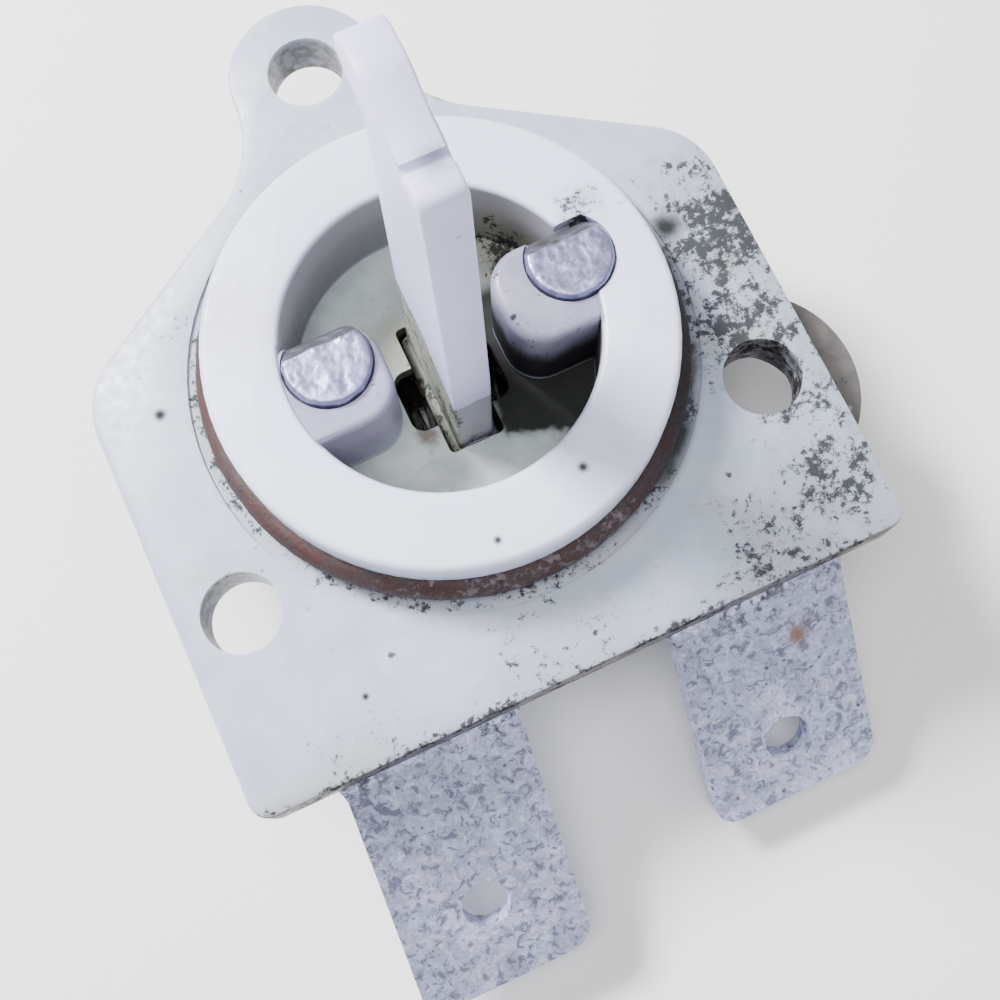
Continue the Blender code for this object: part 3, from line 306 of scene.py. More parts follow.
def mottle_group():
    """Cloudy unevenness at two sizes, for colour and for height."""
    tree, g, given, result = new_group(
        "Mottle",
        [("Vector", "NodeSocketVector", None), ("Scale", "NodeSocketFloat", 1.0)],
        [("Broad", "NodeSocketFloat"), ("Fine", "NodeSocketFloat")])
    g.feed(result["Broad"], g.noise(given["Vector"], given["Scale"], 5.0, 0.6, 0.4))
    g.feed(result["Fine"], g.noise(given["Vector"], g.math("MULTIPLY", given["Scale"], 6.0), 6.0, 0.65))
    return tree


def shared(name):
    """The shader group of that name, made on first use."""
    makers = {"Ragged patch": patch_group, "Specks": speck_group, "Mould": mould_group,
              "Mottle": mottle_group}
    return bpy.data.node_groups.get(name) or makers[name]()


def new_material(name):
    material = bpy.data.materials.new(name)
    material.use_nodes = True
    return material, Graph(material.node_tree), material.node_tree.nodes["Principled BSDF"]


def most(g, *masks):
    """The largest of several masks."""
    result = masks[0]
    for mask in masks[1:]:
        result = g.math("MAXIMUM", result, mask)
    return result


def both(g, *masks):
    """Where all of several masks hold."""
    result = masks[0]
    for mask in masks[1:]:
        result = g.math("MULTIPLY", result, mask)
    return result


def patch(g, vector, centre, radius, ragged=0.8):
    return g.group(shared("Ragged patch"), vector=vector, centre=centre, radius=radius, ragged=ragged)["Mask"]


def soften(shader, weight, radius):
    """Light that sinks in and comes out again, as in pale plastic."""
    shader.inputs["Subsurface Weight"].default_value = weight
    shader.inputs["Subsurface Radius"].default_value = (1.0, 0.9, 0.85)
    shader.inputs["Subsurface Scale"].default_value = radius


def flange_zones(g, place):
    """Masks for the moulding's ring, recess, floor, wall, posts and the strip round the seal."""
    x, y, z = g.split(place)
    away = g.vector("LENGTH", g.add("ShaderNodeCombineXYZ", {"X": x, "Y": y}).outputs[0])
    inside = both(g, g.ramp(away, 7.85, 7.6), g.ramp(z, 16.95, 16.5))
    return {
        "away": away,
        "inside": inside,
        "ring": both(g, g.ramp(z, 14.4, 15.0), g.ramp(away, 7.3, 7.9)),
        "floor": both(g, g.ramp(away, 7.75, 7.6), g.ramp(z, 11.5, 11.2)),
        "wall": both(g, inside, g.ramp(away, 7.5, 7.64), g.ramp(z, 11.1, 11.4)),
        "post": both(g, g.ramp(g.math("ABSOLUTE", y), 2.9, 2.6), g.ramp(away, 9.4, 9.0),
                     g.ramp(z, 11.3, 11.8), g.ramp(z, 16.89, 16.8)),
        "seal": both(g, g.ramp(away, 13.2, 12.4), g.ramp(away, 9.5, 10.5)),
    }


def clean_nylon(g, place, zones, broad):
    """The moulding's colours, with painted shade on the recess wall and yellow-brown stains, but no mould."""
    c = bpy.context.scene.switch_colours
    x, y, z = g.split(place)
    cloud = g.ramp(broad, 0.35, 0.65)
    colour = g.mix(cloud, c.nylon, WORN_NYLON)
    colour = g.mix(zones["ring"], colour, c.ring)
    # Recess wall: painted shade, darkest low down and lighter towards the rim
    colour = g.mix(zones["wall"], colour, g.mix(g.ramp(z, 12.0, 16.9), DEEP_WALL_SHADE, UPPER_WALL_SHADE))
    colour = g.mix(zones["post"], colour, g.mix(cloud, c.post, WORN_POST))
    milky = g.mix(g.ramp(g.noise(place, 0.5, 4.0), 0.35, 0.65), c.recess, MILKY_FLOOR)
    colour = g.mix(zones["floor"], colour, milky)
    stain = most(g, both(g, patch(g, place, (-8.8, 5.0, 16.9), 3.0, 0.5), 0.7),
                 both(g, patch(g, place, (-1.6, 2.2, 11.2), 1.9), 1.2),
                 patch(g, place, (5.2, 5.6, 12.0), 3.4),
                 both(g, g.ramp(y, -14.8, -16.8), g.ramp(x, -8.0, -14.0, 0.0, 0.5)))
    return g.mix(g.math("MULTIPLY", stain, 0.5, clamp=True), colour, c.stain)


def mould_amount(g, place, zones):
    """How thickly mould has grown: in corners, round the seal, behind the posts and along the edge."""
    x, y, z = g.split(place)
    corners = [both(g, patch(g, place, centre, radius), share) for centre, radius, share in MOULDY_PLACES]
    beside_blade = patch(g, place, (-1.2, 0.4, 11.2), 1.15, 0.6)
    return most(g, *corners,
                both(g, zones["seal"], g.ramp(z, 13.4, 13.1, 0.0, 0.8)),
                g.ramp(y, -16.0, -16.95, 0.0, 0.8),
                both(g, zones["ring"], patch(g, place, (8.6, 3.0, 16.9), 1.5, 1.0)),
                patch(g, place, (5.2, 4.9, 12.0), 2.7, 0.4),
                both(g, beside_blade, g.ramp(z, 12.5, 11.5)),
                both(g, zones["wall"], 0.1),
                both(g, zones["post"], g.ramp(x, -3.0, 3.0, 0.12, 0.4)))


def recess_soot_and_shadow(g, place, zones, normal):
    """Near-black sooty dirt and painted shadow on the floor, wall and post on the blade's right; the post's
    sides are painted shade.
    """
    x, y, z = g.split(place)
    wobble = g.math("MULTIPLY", g.math("SUBTRACT", g.noise(place, 0.9, 5.0), 0.5), 1.6)
    front = g.math("ADD", g.math("ADD", y, g.math("MULTIPLY", x, 0.46)), wobble)
    right = both(g, g.ramp(g.math("ADD", x, wobble), 0.7, 1.7), g.ramp(y, 4.2, 2.9), zones["inside"],
                 g.ramp(front, -4.0, -3.2))
    # The post's sides, picked by their normals: painted shade
    side = both(g, zones["post"], g.ramp(g.math("ABSOLUTE", normal[2]), 0.75, 0.35),
                g.ramp(g.math("ADD", z, wobble), 16.4, 13.6))
    lower_wall = both(g, zones["wall"], g.ramp(y, 1.5, -1.0))
    return both(g, right, most(g, side, zones["floor"], lower_wall))


def flange_dirt_and_shadow(g, place, zones, normal, broad, amount):
    """Every black mark on the moulding: mould, specks, spots, sooty dirt with painted shadow, and the dark
    line beside the seal.
    """
    x, _, z = g.split(place)
    grains = g.group(shared("Mould"), vector=place, amount=amount)["Mask"]
    single = g.group(shared("Specks"), vector=place, scale=0.75, size=0.1,
                     cover=g.ramp(amount, 0.0, 0.6, 0.2, 0.8))["Mask"]
    spots = most(g, *[patch(g, place, centre, radius, 0.3) for centre, radius in DARK_SPOTS])
    rim = both(g, zones["seal"], g.ramp(x, 3.0, 9.0), g.ramp(z, 13.3, 13.1),
               g.ramp(broad, 0.35, 0.6, 0.45, 0.9))
    # Sooty dirt and painted shadow in the recess right of the blade
    soot_and_shadow = recess_soot_and_shadow(g, place, zones, normal)
    return most(g, rim, both(g, grains, 0.88), both(g, single, 0.85), both(g, spots, 0.95),
                both(g, soot_and_shadow, 0.96))


def soiled_and_shaded_nylon(g, place, zones, normal, broad, amount, dirt, colour):
    """The clean colour under haze, dirt and painted shade on the front edge, painted shade in the bores,
    mould and the painted shadow right of the blade, rust and painted shade below the floor.
    """
    c = bpy.context.scene.switch_colours
    x, y, z = g.split(place)
    haze = both(g, amount, g.ramp(broad, 0.3, 0.7, 0.2, 0.6))
    colour = g.mix(haze, colour, MOULD_HAZE)
    # Front side face, facing away from the key light: dirt and painted shade
    edge = both(g, g.ramp(normal[1], -0.4, -0.9), g.ramp(y, -16.3, -16.8))
    colour = g.mix(both(g, edge, 0.85), colour, EDGE_DIRT_AND_SHADE)
    # Bores of the holes: painted shade, mottled
    bore_shade = both(g, g.ramp(z, 12.9, 12.6), g.ramp(zones["away"], 13.5, 14.5),
                g.ramp(g.math("ABSOLUTE", normal[2]), 0.5, 0.2), g.ramp(g.math("ABSOLUTE", x), 16.9, 16.6),
                g.ramp(g.noise(place, 2.0, 4.0), 0.35, 0.6, 0.45, 0.95))
    colour = g.mix(bore_shade, colour, BORE_SHADE)
    # The dirt mask here also carries the painted shadow right of the blade
    colour = g.mix(dirt, colour, c.mould)
    rust = both(g, patch(g, place, (-2.1, -2.6, 11.0), 0.75, 1.2), g.ramp(z, 11.6, 11.2), 0.85)
    colour = g.mix(rust, colour, c.rust)
    # Below the recess floor, seen through the slots: painted shade
    under = both(g, g.ramp(z, 11.1, 10.9), g.ramp(zones["away"], 7.0, 6.5), 0.85)
    return g.mix(under, colour, SLOT_SHADE)


def flange_material():
    """Aged nylon: clean on the spigot's top, mouldy at the edges, in the corners and round the holes, with
    painted shade on the recess wall, in the bores and below the floor, and painted shadow right of the blade.
    """
    material, g, shader = new_material("aged_nylon")
    place = g.place()
    broad, fine = g.group(shared("Mottle"), vector=place, scale=0.35)
    normal = g.split(g.add("ShaderNodeNewGeometry").outputs["Normal"])
    zones = flange_zones(g, place)
    amount = mould_amount(g, place, zones)
    # The dirt mask holds mould and also the painted shadow right of the blade
    dirt = flange_dirt_and_shadow(g, place, zones, normal, broad, amount)
    clean = clean_nylon(g, place, zones, broad)
    colour = soiled_and_shaded_nylon(g, place, zones, normal, broad, amount, dirt, clean)
    g.feed(shader.inputs["Base Color"], colour)
    g.feed(shader.inputs["Specular IOR Level"], g.ramp(dirt, 0.2, 0.9, 0.5, 0.08))
    g.feed(shader.inputs["Roughness"], g.math("ADD", g.ramp(fine, 0.3, 0.7, 0.30, 0.46),
                                              g.math("MULTIPLY", dirt, 0.35)))
    height = g.math("ADD", g.math("MULTIPLY", fine, 0.3), g.math("MULTIPLY", dirt, 0.6))
    g.feed(shader.inputs["Normal"], g.bump(height, 0.3, 0.07 * MM))
    soften(shader, 0.12, 0.9 * MM)
    return material


def blade_material():
    """Smooth pale nylon with a grey foot of dirt and painted shade below the rim's level, greenish grime low
    on the left and a groove of dust on top.
    """
    c = bpy.context.scene.switch_colours
    material, g, shader = new_material("blade_nylon")
    place = g.place()
    x, y, z = g.split(place)
    broad, fine = g.group(shared("Mottle"), vector=place, scale=0.3)
    colour = g.mix(g.ramp(broad, 0.3, 0.7), c.blade, PALE_BLADE)
    wander = g.math("MULTIPLY", g.math("SUBTRACT", g.noise(place, 0.8, 5.0), 0.5), 1.2)
    line = g.math("ADD", g.ramp(y, -3.8, 0.5, 16.9, 18.6), wander)
    # The foot below the rim's level: dirt and painted shade
    foot = g.ramp(g.math("SUBTRACT", z, line), 0.12, -0.12)
    left = g.ramp(x, -0.4, -0.9)
    foot_dirt_and_shade_colour = g.mix(left, GREY_FOOT_DIRT_AND_SHADE, GREENISH_FOOT_GRIME_AND_SHADE)
    colour = g.mix(g.math("MULTIPLY", foot, 0.85), colour, foot_dirt_and_shade_colour)
    rim = g.math("MULTIPLY", g.ramp(g.math("ABSOLUTE", g.math("SUBTRACT", z, line)), 0.14, 0.0), 0.45)
    colour = g.mix(rim, colour, FOOT_LINE)
    amount = g.math("MULTIPLY", foot, g.ramp(left, 0.0, 1.0, 0.25, 0.75))
    amount = most(g, amount, g.ramp(z, 13.2, 11.0, 0.0, 0.7))
    grains = g.group(shared("Mould"), vector=place, amount=amount)["Mask"]
    single = g.group(shared("Specks"), vector=place, scale=0.45, size=0.08, cover=0.25)["Mask"]
    groove = g.math("MULTIPLY", patch(g, place, (0.3, -1.3, 35.7), 0.75, 0.4), 0.5)
    dirt = most(g, g.math("MULTIPLY", grains, 0.85), g.math("MULTIPLY", single, 0.8), groove)
    colour = g.mix(dirt, colour, c.mould)
    g.feed(shader.inputs["Base Color"], colour)
    g.feed(shader.inputs["Roughness"], g.math("ADD", g.ramp(fine, 0.3, 0.7, 0.34, 0.48),
                                              g.math("MULTIPLY", dirt, 0.3)))
    height = g.math("ADD", g.math("MULTIPLY", fine, 0.3), dirt)
    g.feed(shader.inputs["Normal"], g.bump(height, 0.25, 0.06 * MM))
    soften(shader, 0.15, 0.9 * MM)
    return material


def seal_material():
    """Brown-red rubber under pale dust, much darker towards +x, on the side away from the tabs."""
    c = bpy.context.scene.switch_colours
    material, g, shader = new_material("seal_rubber")
    place = g.place()
    x, y, _ = g.split(place)
    broad, fine = g.group(shared("Mottle"), vector=place, scale=1.2)
    colour = g.mix(g.ramp(broad, 0.35, 0.65), c.rubber, WORN_RUBBER)
    # Darker towards +x
    dark = g.math("MULTIPLY", g.ramp(x, 5.0, 10.5), 0.9)
    colour = g.mix(dark, colour, RIGHT_SIDE_RUBBER)
    dust = g.group(shared("Mould"), vector=place, amount=g.ramp(y, -6.0, -12.0, 0.25, 0.75))["Mask"]
    colour = g.mix(g.math("MULTIPLY", dust, g.ramp(x, 4.0, 9.0, 0.6, 0.15)), colour, SEAL_DUST)
    flecks = g.group(shared("Specks"), vector=place, scale=3.0, size=0.3, cover=0.6)["Mask"]
    colour = g.mix(g.math("MULTIPLY", flecks, 0.8), colour, SEAL_FLECKS)
    g.feed(shader.inputs["Base Color"], colour)
    g.feed(shader.inputs["Roughness"], g.ramp(fine, 0.3, 0.7, 0.45, 0.75))
    g.feed(shader.inputs["Normal"], g.bump(g.math("ADD", fine, dust), 0.6, 0.07 * MM))
    return material


def tab_material():
    """Dull tinned sheet: cloudy, finely pitted, dark in its pits and rusty in one spot."""
    c = bpy.context.scene.switch_colours
    material, g, shader = new_material("tinned_sheet")
    place = g.place()
    _, y, _ = g.split(place)
    broad, fine = g.group(shared("Mottle"), vector=place, scale=0.75)
    crust = g.noise(place, 1.9, 8.0, 0.72, 0.8)
    colour = g.mix(g.ramp(broad, 0.4, 0.62), c.tin, PALE_TIN)
    colour = g.mix(g.ramp(crust, 0.5, 0.6), colour, DARK_CRUST)
    colour = g.mix(g.math("MULTIPLY", g.ramp(crust, 0.46, 0.38), 0.8), colour, BRIGHT_CRUST)
    pits = g.group(shared("Specks"), vector=place, scale=1.7, size=0.16, cover=0.5)["Mask"]
    root = g.group(shared("Mould"), vector=place, amount=g.ramp(y, -19.0, -16.8, 0.05, 0.8))["Mask"]
    dirt = most(g, g.math("MULTIPLY", pits, 0.8), g.math("MULTIPLY", root, 0.75))
    colour = g.mix(dirt, colour, c.mould)
    rust = patch(g, place, (10.7, -19.4, 8.4), 0.7, 1.3)
    colour = g.mix(g.math("MULTIPLY", rust, 0.85), colour, TAB_RUST)
    g.feed(shader.inputs["Base Color"], colour)
    g.feed(shader.inputs["Metallic"], g.ramp(most(g, dirt, rust), 0.0, 1.0, 0.72, 0.0))
    g.feed(shader.inputs["Roughness"], g.math("ADD", g.ramp(fine, 0.3, 0.7, 0.36, 0.56),
                                              g.math("MULTIPLY", dirt, 0.3)))
    height = g.math("ADD", g.math("MULTIPLY", crust, 0.8), g.math("MULTIPLY", fine, 0.4))
    height = g.math("SUBTRACT", height, g.math("MULTIPLY", pits, 0.6))
    g.feed(shader.inputs["Normal"], g.bump(height, 0.55, 0.09 * MM))
    return material


def stud_material():
    """Bright plating, hammered by riveting, with grime in the dents and on the flat, which is also darkened
    as painted shade.
    """
    c = bpy.context.scene.switch_colours
    material, g, shader = new_material("plated_stud")
    place = g.place()
    broad, fine = g.group(shared("Mottle"), vector=place, scale=1.1)
    colour = g.mix(g.ramp(broad, 0.35, 0.65), c.stud, WORN_STUD)
    normal = g.split(g.add("ShaderNodeNewGeometry").outputs["Normal"])
    flat = g.ramp(normal[1], 0.45, 0.75)
    # The flat, facing +y: painted shade
    colour = g.mix(g.math("MULTIPLY", flat, 0.85), colour, STUD_FLAT_SHADE)
    amount = g.ramp(flat, 0.0, 1.0, 0.12, 0.45)
    pit = most(g, patch(g, place, (6.3, 2.3, 17.0), 0.8, 0.5), patch(g, place, (6.9, 1.9, 17.2), 0.45, 0.5))
    dirt = g.group(shared("Mould"), vector=place, amount=amount)["Mask"]
    dirt = most(g, g.math("MULTIPLY", dirt, 0.7), pit)
    colour = g.mix(dirt, colour, c.mould)
    g.feed(shader.inputs["Base Color"], colour)
    g.feed(shader.inputs["Metallic"], g.ramp(dirt, 0.0, 1.0, 0.7, 0.1))
    g.feed(shader.inputs["Roughness"], g.math("ADD", g.ramp(fine, 0.3, 0.7, 0.30, 0.46),
                                              g.math("MULTIPLY", dirt, 0.3)))
    height = g.math("ADD", broad, g.math("MULTIPLY", fine, 0.15))
    g.feed(shader.inputs["Normal"], g.bump(height, 0.4, 0.12 * MM))
    return material


def cover_material():
    """Grey-brown moulding, its darkness partly painted shade under the plate, with pale scuffs and black
    grains.
    """
    c = bpy.context.scene.switch_colours
    material, g, shader = new_material("cover_moulding")
    place = g.place()
    broad, fine = g.group(shared("Mottle"), vector=place, scale=0.6)
    # Base tone: partly painted shade under the plate
    colour = g.mix(g.ramp(broad, 0.35, 0.65), c.cover, PALE_COVER)
    scuff = g.group(shared("Specks"), vector=place, scale=1.2, size=0.2, cover=0.35)["Mask"]
    colour = g.mix(g.math("MULTIPLY", scuff, 0.4), colour, COVER_SCUFF)
    dirt = g.group(shared("Mould"), vector=place, amount=0.3)["Mask"]
    colour = g.mix(g.math("MULTIPLY", dirt, 0.8), colour, c.mould)
    g.feed(shader.inputs["Base Color"], colour)
    g.feed(shader.inputs["Roughness"], g.ramp(fine, 0.3, 0.7, 0.50, 0.75))
    height = g.math("ADD", fine, g.math("MULTIPLY", broad, 0.5))
    g.feed(shader.inputs["Normal"], g.bump(height, 0.4, 0.06 * MM))
    return material


def metal_material(name, bright, dull, metallic, rough):
    """Plain machined or pressed metal with faint clouding, fine marks and a little grime."""
    c = bpy.context.scene.switch_colours
    material, g, shader = new_material(name)
    place = g.place()
    broad, fine = g.group(shared("Mottle"), vector=place, scale=1.5)
    colour = g.mix(g.ramp(broad, 0.35, 0.65), bright, dull)
    grime = g.group(shared("Mould"), vector=place, amount=0.14)["Mask"]
    colour = g.mix(g.math("MULTIPLY", grime, 0.6), colour, c.mould)
    g.feed(shader.inputs["Base Color"], colour)
    shader.inputs["Metallic"].default_value = metallic
    g.feed(shader.inputs["Roughness"], g.ramp(fine, 0.3, 0.7, rough, rough + 0.2))
    g.feed(shader.inputs["Normal"], g.bump(fine, 0.25, 0.03 * MM))
    return material


def floor_material():
    c = bpy.context.scene.switch_colours
    material, _, shader = new_material("pale_floor")
    shader.inputs["Base Color"].default_value = (*c.floor, 1.0)
    shader.inputs["Roughness"].default_value = 0.9
    return material


# Modelling helpers


def select_only(obj):
    for other in bpy.context.selected_objects:
        other.select_set(False)
    obj.select_set(True)
    bpy.context.view_layer.objects.active = obj


def paint(obj, material):
    obj.data.materials.clear()
    obj.data.materials.append(material)


def merged_copy(node, name, whole=True):
    """A CAD node's shape as a new object, its loose triangles joined and, if whole, its flat faces too."""
    piece = bpy.data.objects.new(name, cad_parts[node].data.copy())
    bpy.context.scene.collection.objects.link(piece)
    select_only(piece)
    if piece.data.has_custom_normals:
        bpy.ops.mesh.customdata_custom_splitnormals_clear()
    bpy.ops.object.mode_set(mode="EDIT")
    bpy.ops.mesh.select_all(action="SELECT")
    bpy.ops.mesh.remove_doubles(threshold=0.000001)
    if whole:
        bpy.ops.mesh.dissolve_limited(angle_limit=math.radians(0.6))
    else:
        bpy.ops.mesh.tris_convert_to_quads()
    bpy.ops.object.mode_set(mode="OBJECT")
    return piece


def apply_modifier(piece, kind, **settings):
    modifier = piece.modifiers.new(kind.lower(), kind)
    for key, value in settings.items():
        setattr(modifier, key, value)
    select_only(piece)
    bpy.ops.object.modifier_apply(modifier=modifier.name)


def round_edges(piece, width, angle=40.0, segments=2):
    apply_modifier(piece, "BEVEL", width=width, segments=segments, limit_method="ANGLE",
                   angle_limit=math.radians(angle), miter_outer="MITER_ARC", harden_normals=False)


def smooth(piece, angle=35.0):
    select_only(piece)
    bpy.ops.object.shade_smooth_by_angle(angle=math.radians(angle))


def roughen(piece, cell, depth, where=None):
    """Pushes each vertex along its normal by smooth noise of that cell size."""
    normals = [vert.normal.copy() for vert in piece.data.vertices]
    for vert, normal in zip(piece.data.vertices, normals):
        share = where(vert.co) if where else 1.0
        vert.co += normal * (noise.fractal(vert.co / cell, 0.8, 2.1, 4) * depth * share)


def hand_over(piece, body, node, material):
    """Gives a finished piece its finish and its body, and hides the CAD node it stands for."""
    paint(piece, material)
    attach(piece, body)
    if node:
        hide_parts(node)


# Operators


class SWITCH_OT_flange(bpy.types.Operator):
    """Make the moulded flange with its spigot, recess and posts"""

    bl_idname = "switch.flange"
    bl_label = "Flange"

    def execute(self, context):
        piece = merged_copy("flange_body", "flange_moulding")
        smooth(piece, 38.0)
        hand_over(piece, "housing", "flange_body", flange_material())
        return {"FINISHED"}


class SWITCH_OT_ejector_mark(bpy.types.Operator):
    """Make the round mark that the mould's ejector pin left on the recess floor"""

    bl_idname = "switch.ejector_mark"
    bl_label = "Ejector mark"

    def execute(self, context):
        radius = context.scene.switch_sizes.ejector_radius
        bpy.ops.object.select_all(action="DESELECT")
        bpy.ops.mesh.primitive_circle_add(
            vertices=40, radius=radius, fill_type="NGON", enter_editmode=True,
            location=(-2.8 * MM, -4.9 * MM, (FLOOR_TOP - 0.02) * MM))
        bpy.ops.mesh.select_all(action="SELECT")
        bpy.ops.mesh.inset(thickness=0.14 * MM)
        bpy.ops.mesh.delete(type="FACE")
        bpy.ops.mesh.select_all(action="SELECT")
        bpy.ops.mesh.extrude_region_move(TRANSFORM_OT_translate={"value": (0, 0, 0.07 * MM)})
        bpy.ops.mesh.select_all(action="SELECT")
        bpy.ops.mesh.normals_make_consistent(inside=False)
        bpy.ops.object.mode_set(mode="OBJECT")
        piece = context.active_object
        piece.name = "ejector_mark"
        bpy.ops.object.transform_apply(location=True, rotation=True, scale=True)
        smooth(piece, 60.0)
        hand_over(piece, "housing", None, bpy.data.materials["aged_nylon"])
        return {"FINISHED"}


class SWITCH_OT_seal(bpy.types.Operator):
    """Make the rubber seal with its uneven skin"""

    bl_idname = "switch.seal"
    bl_label = "Seal"

    def execute(self, context):
        piece = merged_copy("seal_ring", "seal", whole=False)
        apply_modifier(piece, "SUBSURF", levels=2, render_levels=2)
        roughen(piece, 0.5 * MM, -context.scene.switch_sizes.seal_ripple)
        smooth(piece, 80.0)
        hand_over(piece, "housing", "seal_ring", seal_material())
        return {"FINISHED"}


class SWITCH_OT_blade(bpy.types.Operator):
    """Make the rocking blade with its softened edges"""

    bl_idname = "switch.blade"
    bl_label = "Blade"

    def execute(self, context):
        piece = merged_copy("blade_lever", "blade")
        smooth(piece, 50.0)
        hand_over(piece, "blade", "blade_lever", blade_material())
        return {"FINISHED"}


class SWITCH_OT_studs(bpy.types.Operator):
    """Make the two riveted contact studs with hammered heads"""

    bl_idname = "switch.studs"
    bl_label = "Contact studs"

    def execute(self, context):
        material = stud_material()
        dent = context.scene.switch_sizes.stud_dent
        for side in ("left", "right"):
            piece = merged_copy(f"contact_stud_{side}", f"stud_{side}", whole=False)
            apply_modifier(piece, "REMESH", mode="VOXEL", voxel_size=0.09 * MM, adaptivity=0.0)
            apply_modifier(piece, "SMOOTH", factor=0.6, iterations=4)
            roughen(piece, 0.7 * MM, -dent, lambda co: min(1.0, max(0.0, (co.z - 16.3 * MM) / (0.4 * MM))))
            smooth(piece, 80.0)
            hand_over(piece, "housing", f"contact_stud_{side}", material)
        return {"FINISHED"}


class SWITCH_OT_terminals(bpy.types.Operator):
    """Make the two terminals with their bent push-on tabs"""

    bl_idname = "switch.terminals"
    bl_label = "Terminals"

    def execute(self, context):
        material = tab_material()
        for side in ("left", "right"):
            piece = merged_copy(f"terminal_{side}", f"tab_{side}")
            round_edges(piece, context.scene.switch_sizes.tab_edge, angle=50.0)
            smooth(piece, 40.0)
            hand_over(piece, "housing", f"terminal_{side}", material)
        return {"FINISHED"}


class SWITCH_OT_rear_cover(bpy.types.Operator):
    """Make the rear cover with its lug and screw ears"""

    bl_idname = "switch.rear_cover"
    bl_label = "Rear cover"

    def execute(self, context):
        piece = merged_copy("rear_cover", "cover")
        smooth(piece, 38.0)
        hand_over(piece, "housing", "rear_cover", cover_material())
        return {"FINISHED"}


class SWITCH_OT_screws(bpy.types.Operator):
    """Make the three slotted screws that hold the cover"""

    bl_idname = "switch.screws"
    bl_label = "Cover screws"

    def execute(self, context):
        material = metal_material("screw_steel", (0.52, 0.52, 0.54), (0.36, 0.36, 0.38), 1.0, 0.28)
        for side in ("left", "right", "lower"):
            piece = merged_copy(f"cover_screw_{side}", f"screw_{side}")
            round_edges(piece, 0.06 * MM, angle=50.0)
            smooth(piece, 40.0)
            hand_over(piece, "housing", f"cover_screw_{side}", material)
        return {"FINISHED"}


class SWITCH_OT_inner_works(bpy.types.Operator):
    """Finish the pin, clips, washers, springs, bridge and contacts behind the flange"""

    bl_idname = "switch.inner_works"
    bl_label = "Inner works"

    def execute(self, context):
        steel = metal_material("works_steel", (0.60, 0.60, 0.61), (0.42, 0.42, 0.44), 1.0, 0.25)
        silver = metal_material("contact_silver", (0.82, 0.80, 0.76), (0.60, 0.57, 0.52), 1.0, 0.18)
        brass = metal_material("bridge_brass", (0.72, 0.50, 0.22), (0.50, 0.33, 0.13), 1.0, 0.24)
        finishes = {
            "pivot_pin": steel, "pin_clip_front": steel, "pin_clip_rear": steel,
            "stud_washer_left": steel, "stud_washer_right": steel, "bridge_rivet": steel,
            "centring_spring_left": steel, "centring_spring_right": steel, "contact_bridge": brass,
            "fixed_contact_left": silver, "fixed_contact_right": silver,
            "bridge_contact_left": silver, "bridge_contact_right": silver,
        }
        for node, material in finishes.items():
            paint(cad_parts[node], material)
        return {"FINISHED"}


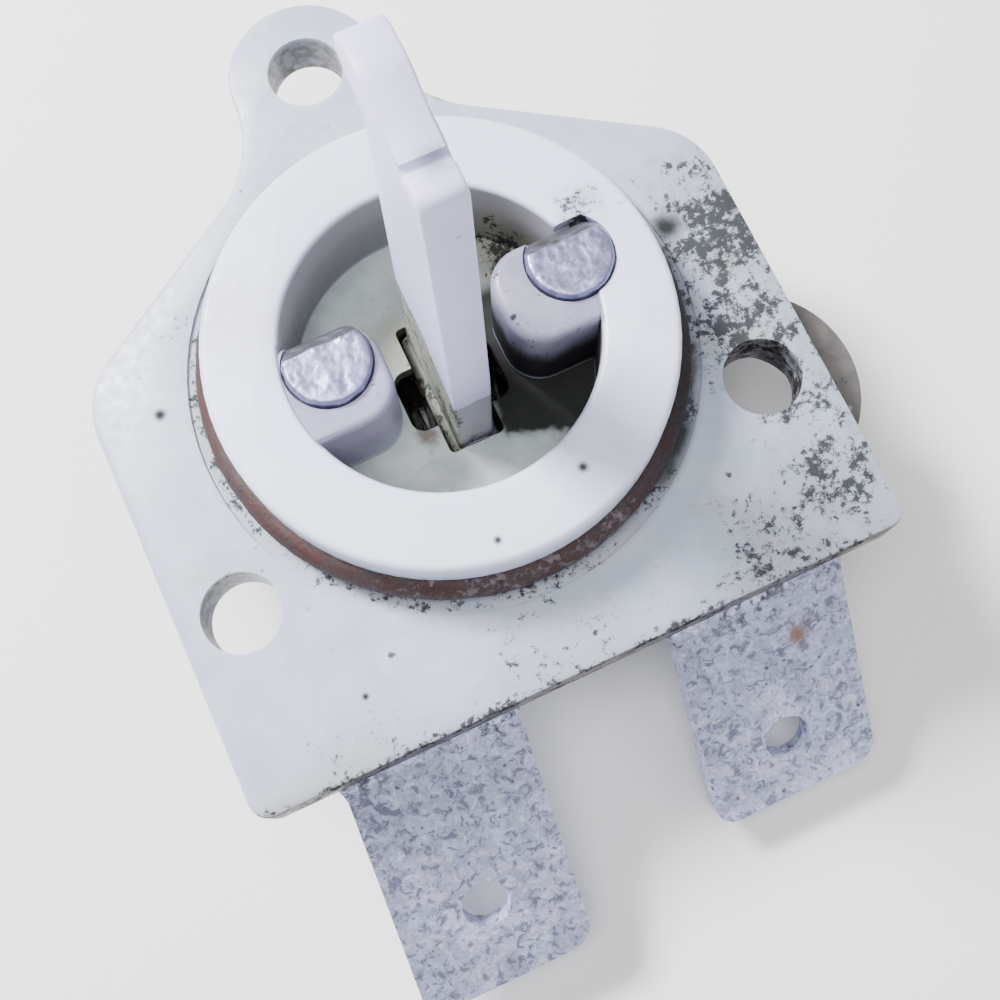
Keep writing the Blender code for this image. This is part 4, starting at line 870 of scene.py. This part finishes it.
class SWITCH_OT_stage(bpy.types.Operator):
    """Make the floor, the soft lights and the camera"""

    bl_idname = "switch.stage"
    bl_label = "Stage"

    def execute(self, context):
        sizes = context.scene.switch_sizes
        bpy.ops.object.select_all(action="DESELECT")
        bpy.ops.mesh.primitive_grid_add(x_subdivisions=8, y_subdivisions=8, size=sizes.floor_size)
        floor = context.active_object
        floor.name = "floor"
        paint(floor, floor_material())

        world = bpy.data.worlds.new("studio")
        world.use_nodes = True
        background = world.node_tree.nodes["Background"]
        background.inputs["Color"].default_value = (0.95, 0.96, 1.0, 1.0)
        background.inputs["Strength"].default_value = 0.30
        context.scene.world = world

        self.lamp("key", (-0.10, 0.15, 0.20), 0.07, 2.1)
        self.lamp("fill", (0.10, -0.16, 0.26), 0.20, 0.25)
        self.lamp("top", (-0.05, -0.02, 0.32), 0.14, 0.7)

        camera = bpy.data.objects.new("camera", bpy.data.cameras.new("camera"))
        context.scene.collection.objects.link(camera)
        camera.data.lens = sizes.lens
        camera.data.clip_start = 0.002
        place = Vector(CAMERA_PLACE)
        look = (Vector(CAMERA_AIM) - place).to_track_quat("-Z", "Y").to_matrix().to_4x4()
        roll = Matrix.Rotation(math.radians(CAMERA_ROLL), 4, "Z")
        camera.matrix_world = Matrix.Translation(place * MM) @ look @ roll
        context.scene.camera = camera
        return {"FINISHED"}

    def lamp(self, name, place, size, power):
        """A square soft light aimed at the switch."""
        light = bpy.data.lights.new(name, "AREA")
        light.size = size
        light.energy = power
        lamp = bpy.data.objects.new(name, light)
        lamp.location = place
        lamp.rotation_euler = (-Vector(place)).to_track_quat("-Z", "Y").to_euler()
        bpy.context.scene.collection.objects.link(lamp)


STEPS = (SWITCH_OT_flange, SWITCH_OT_ejector_mark, SWITCH_OT_seal, SWITCH_OT_blade, SWITCH_OT_studs,
         SWITCH_OT_terminals, SWITCH_OT_rear_cover, SWITCH_OT_screws, SWITCH_OT_inner_works, SWITCH_OT_stage)


class SWITCH_PT_finish(bpy.types.Panel):
    """Lists the switch's pieces, sizes and colours"""

    bl_idname = "SWITCH_PT_finish"
    bl_label = "Blade Switch"
    bl_space_type = "VIEW_3D"
    bl_region_type = "UI"
    bl_category = "Blade Switch"

    def draw(self, context):
        for step in STEPS:
            self.layout.operator(step.bl_idname)
        for group in (context.scene.switch_sizes, context.scene.switch_colours):
            for name in group.__annotations__:
                self.layout.prop(group, name)


CLASSES = (SwitchSizes, SwitchColours, *STEPS, SWITCH_PT_finish)


def register():
    for cls in CLASSES:
        bpy.utils.register_class(cls)
    bpy.types.Scene.switch_sizes = bpy.props.PointerProperty(type=SwitchSizes)
    bpy.types.Scene.switch_colours = bpy.props.PointerProperty(type=SwitchColours)


def unregister():
    del bpy.types.Scene.switch_colours
    del bpy.types.Scene.switch_sizes
    for cls in reversed(CLASSES):
        bpy.utils.unregister_class(cls)


def main():
    register()
    bpy.ops.switch.flange()
    bpy.ops.switch.ejector_mark()
    bpy.ops.switch.seal()
    bpy.ops.switch.blade()
    bpy.ops.switch.studs()
    bpy.ops.switch.terminals()
    bpy.ops.switch.rear_cover()
    bpy.ops.switch.screws()
    bpy.ops.switch.inner_works()
    bpy.ops.switch.stage()


if __name__ == "__main__":
    main()
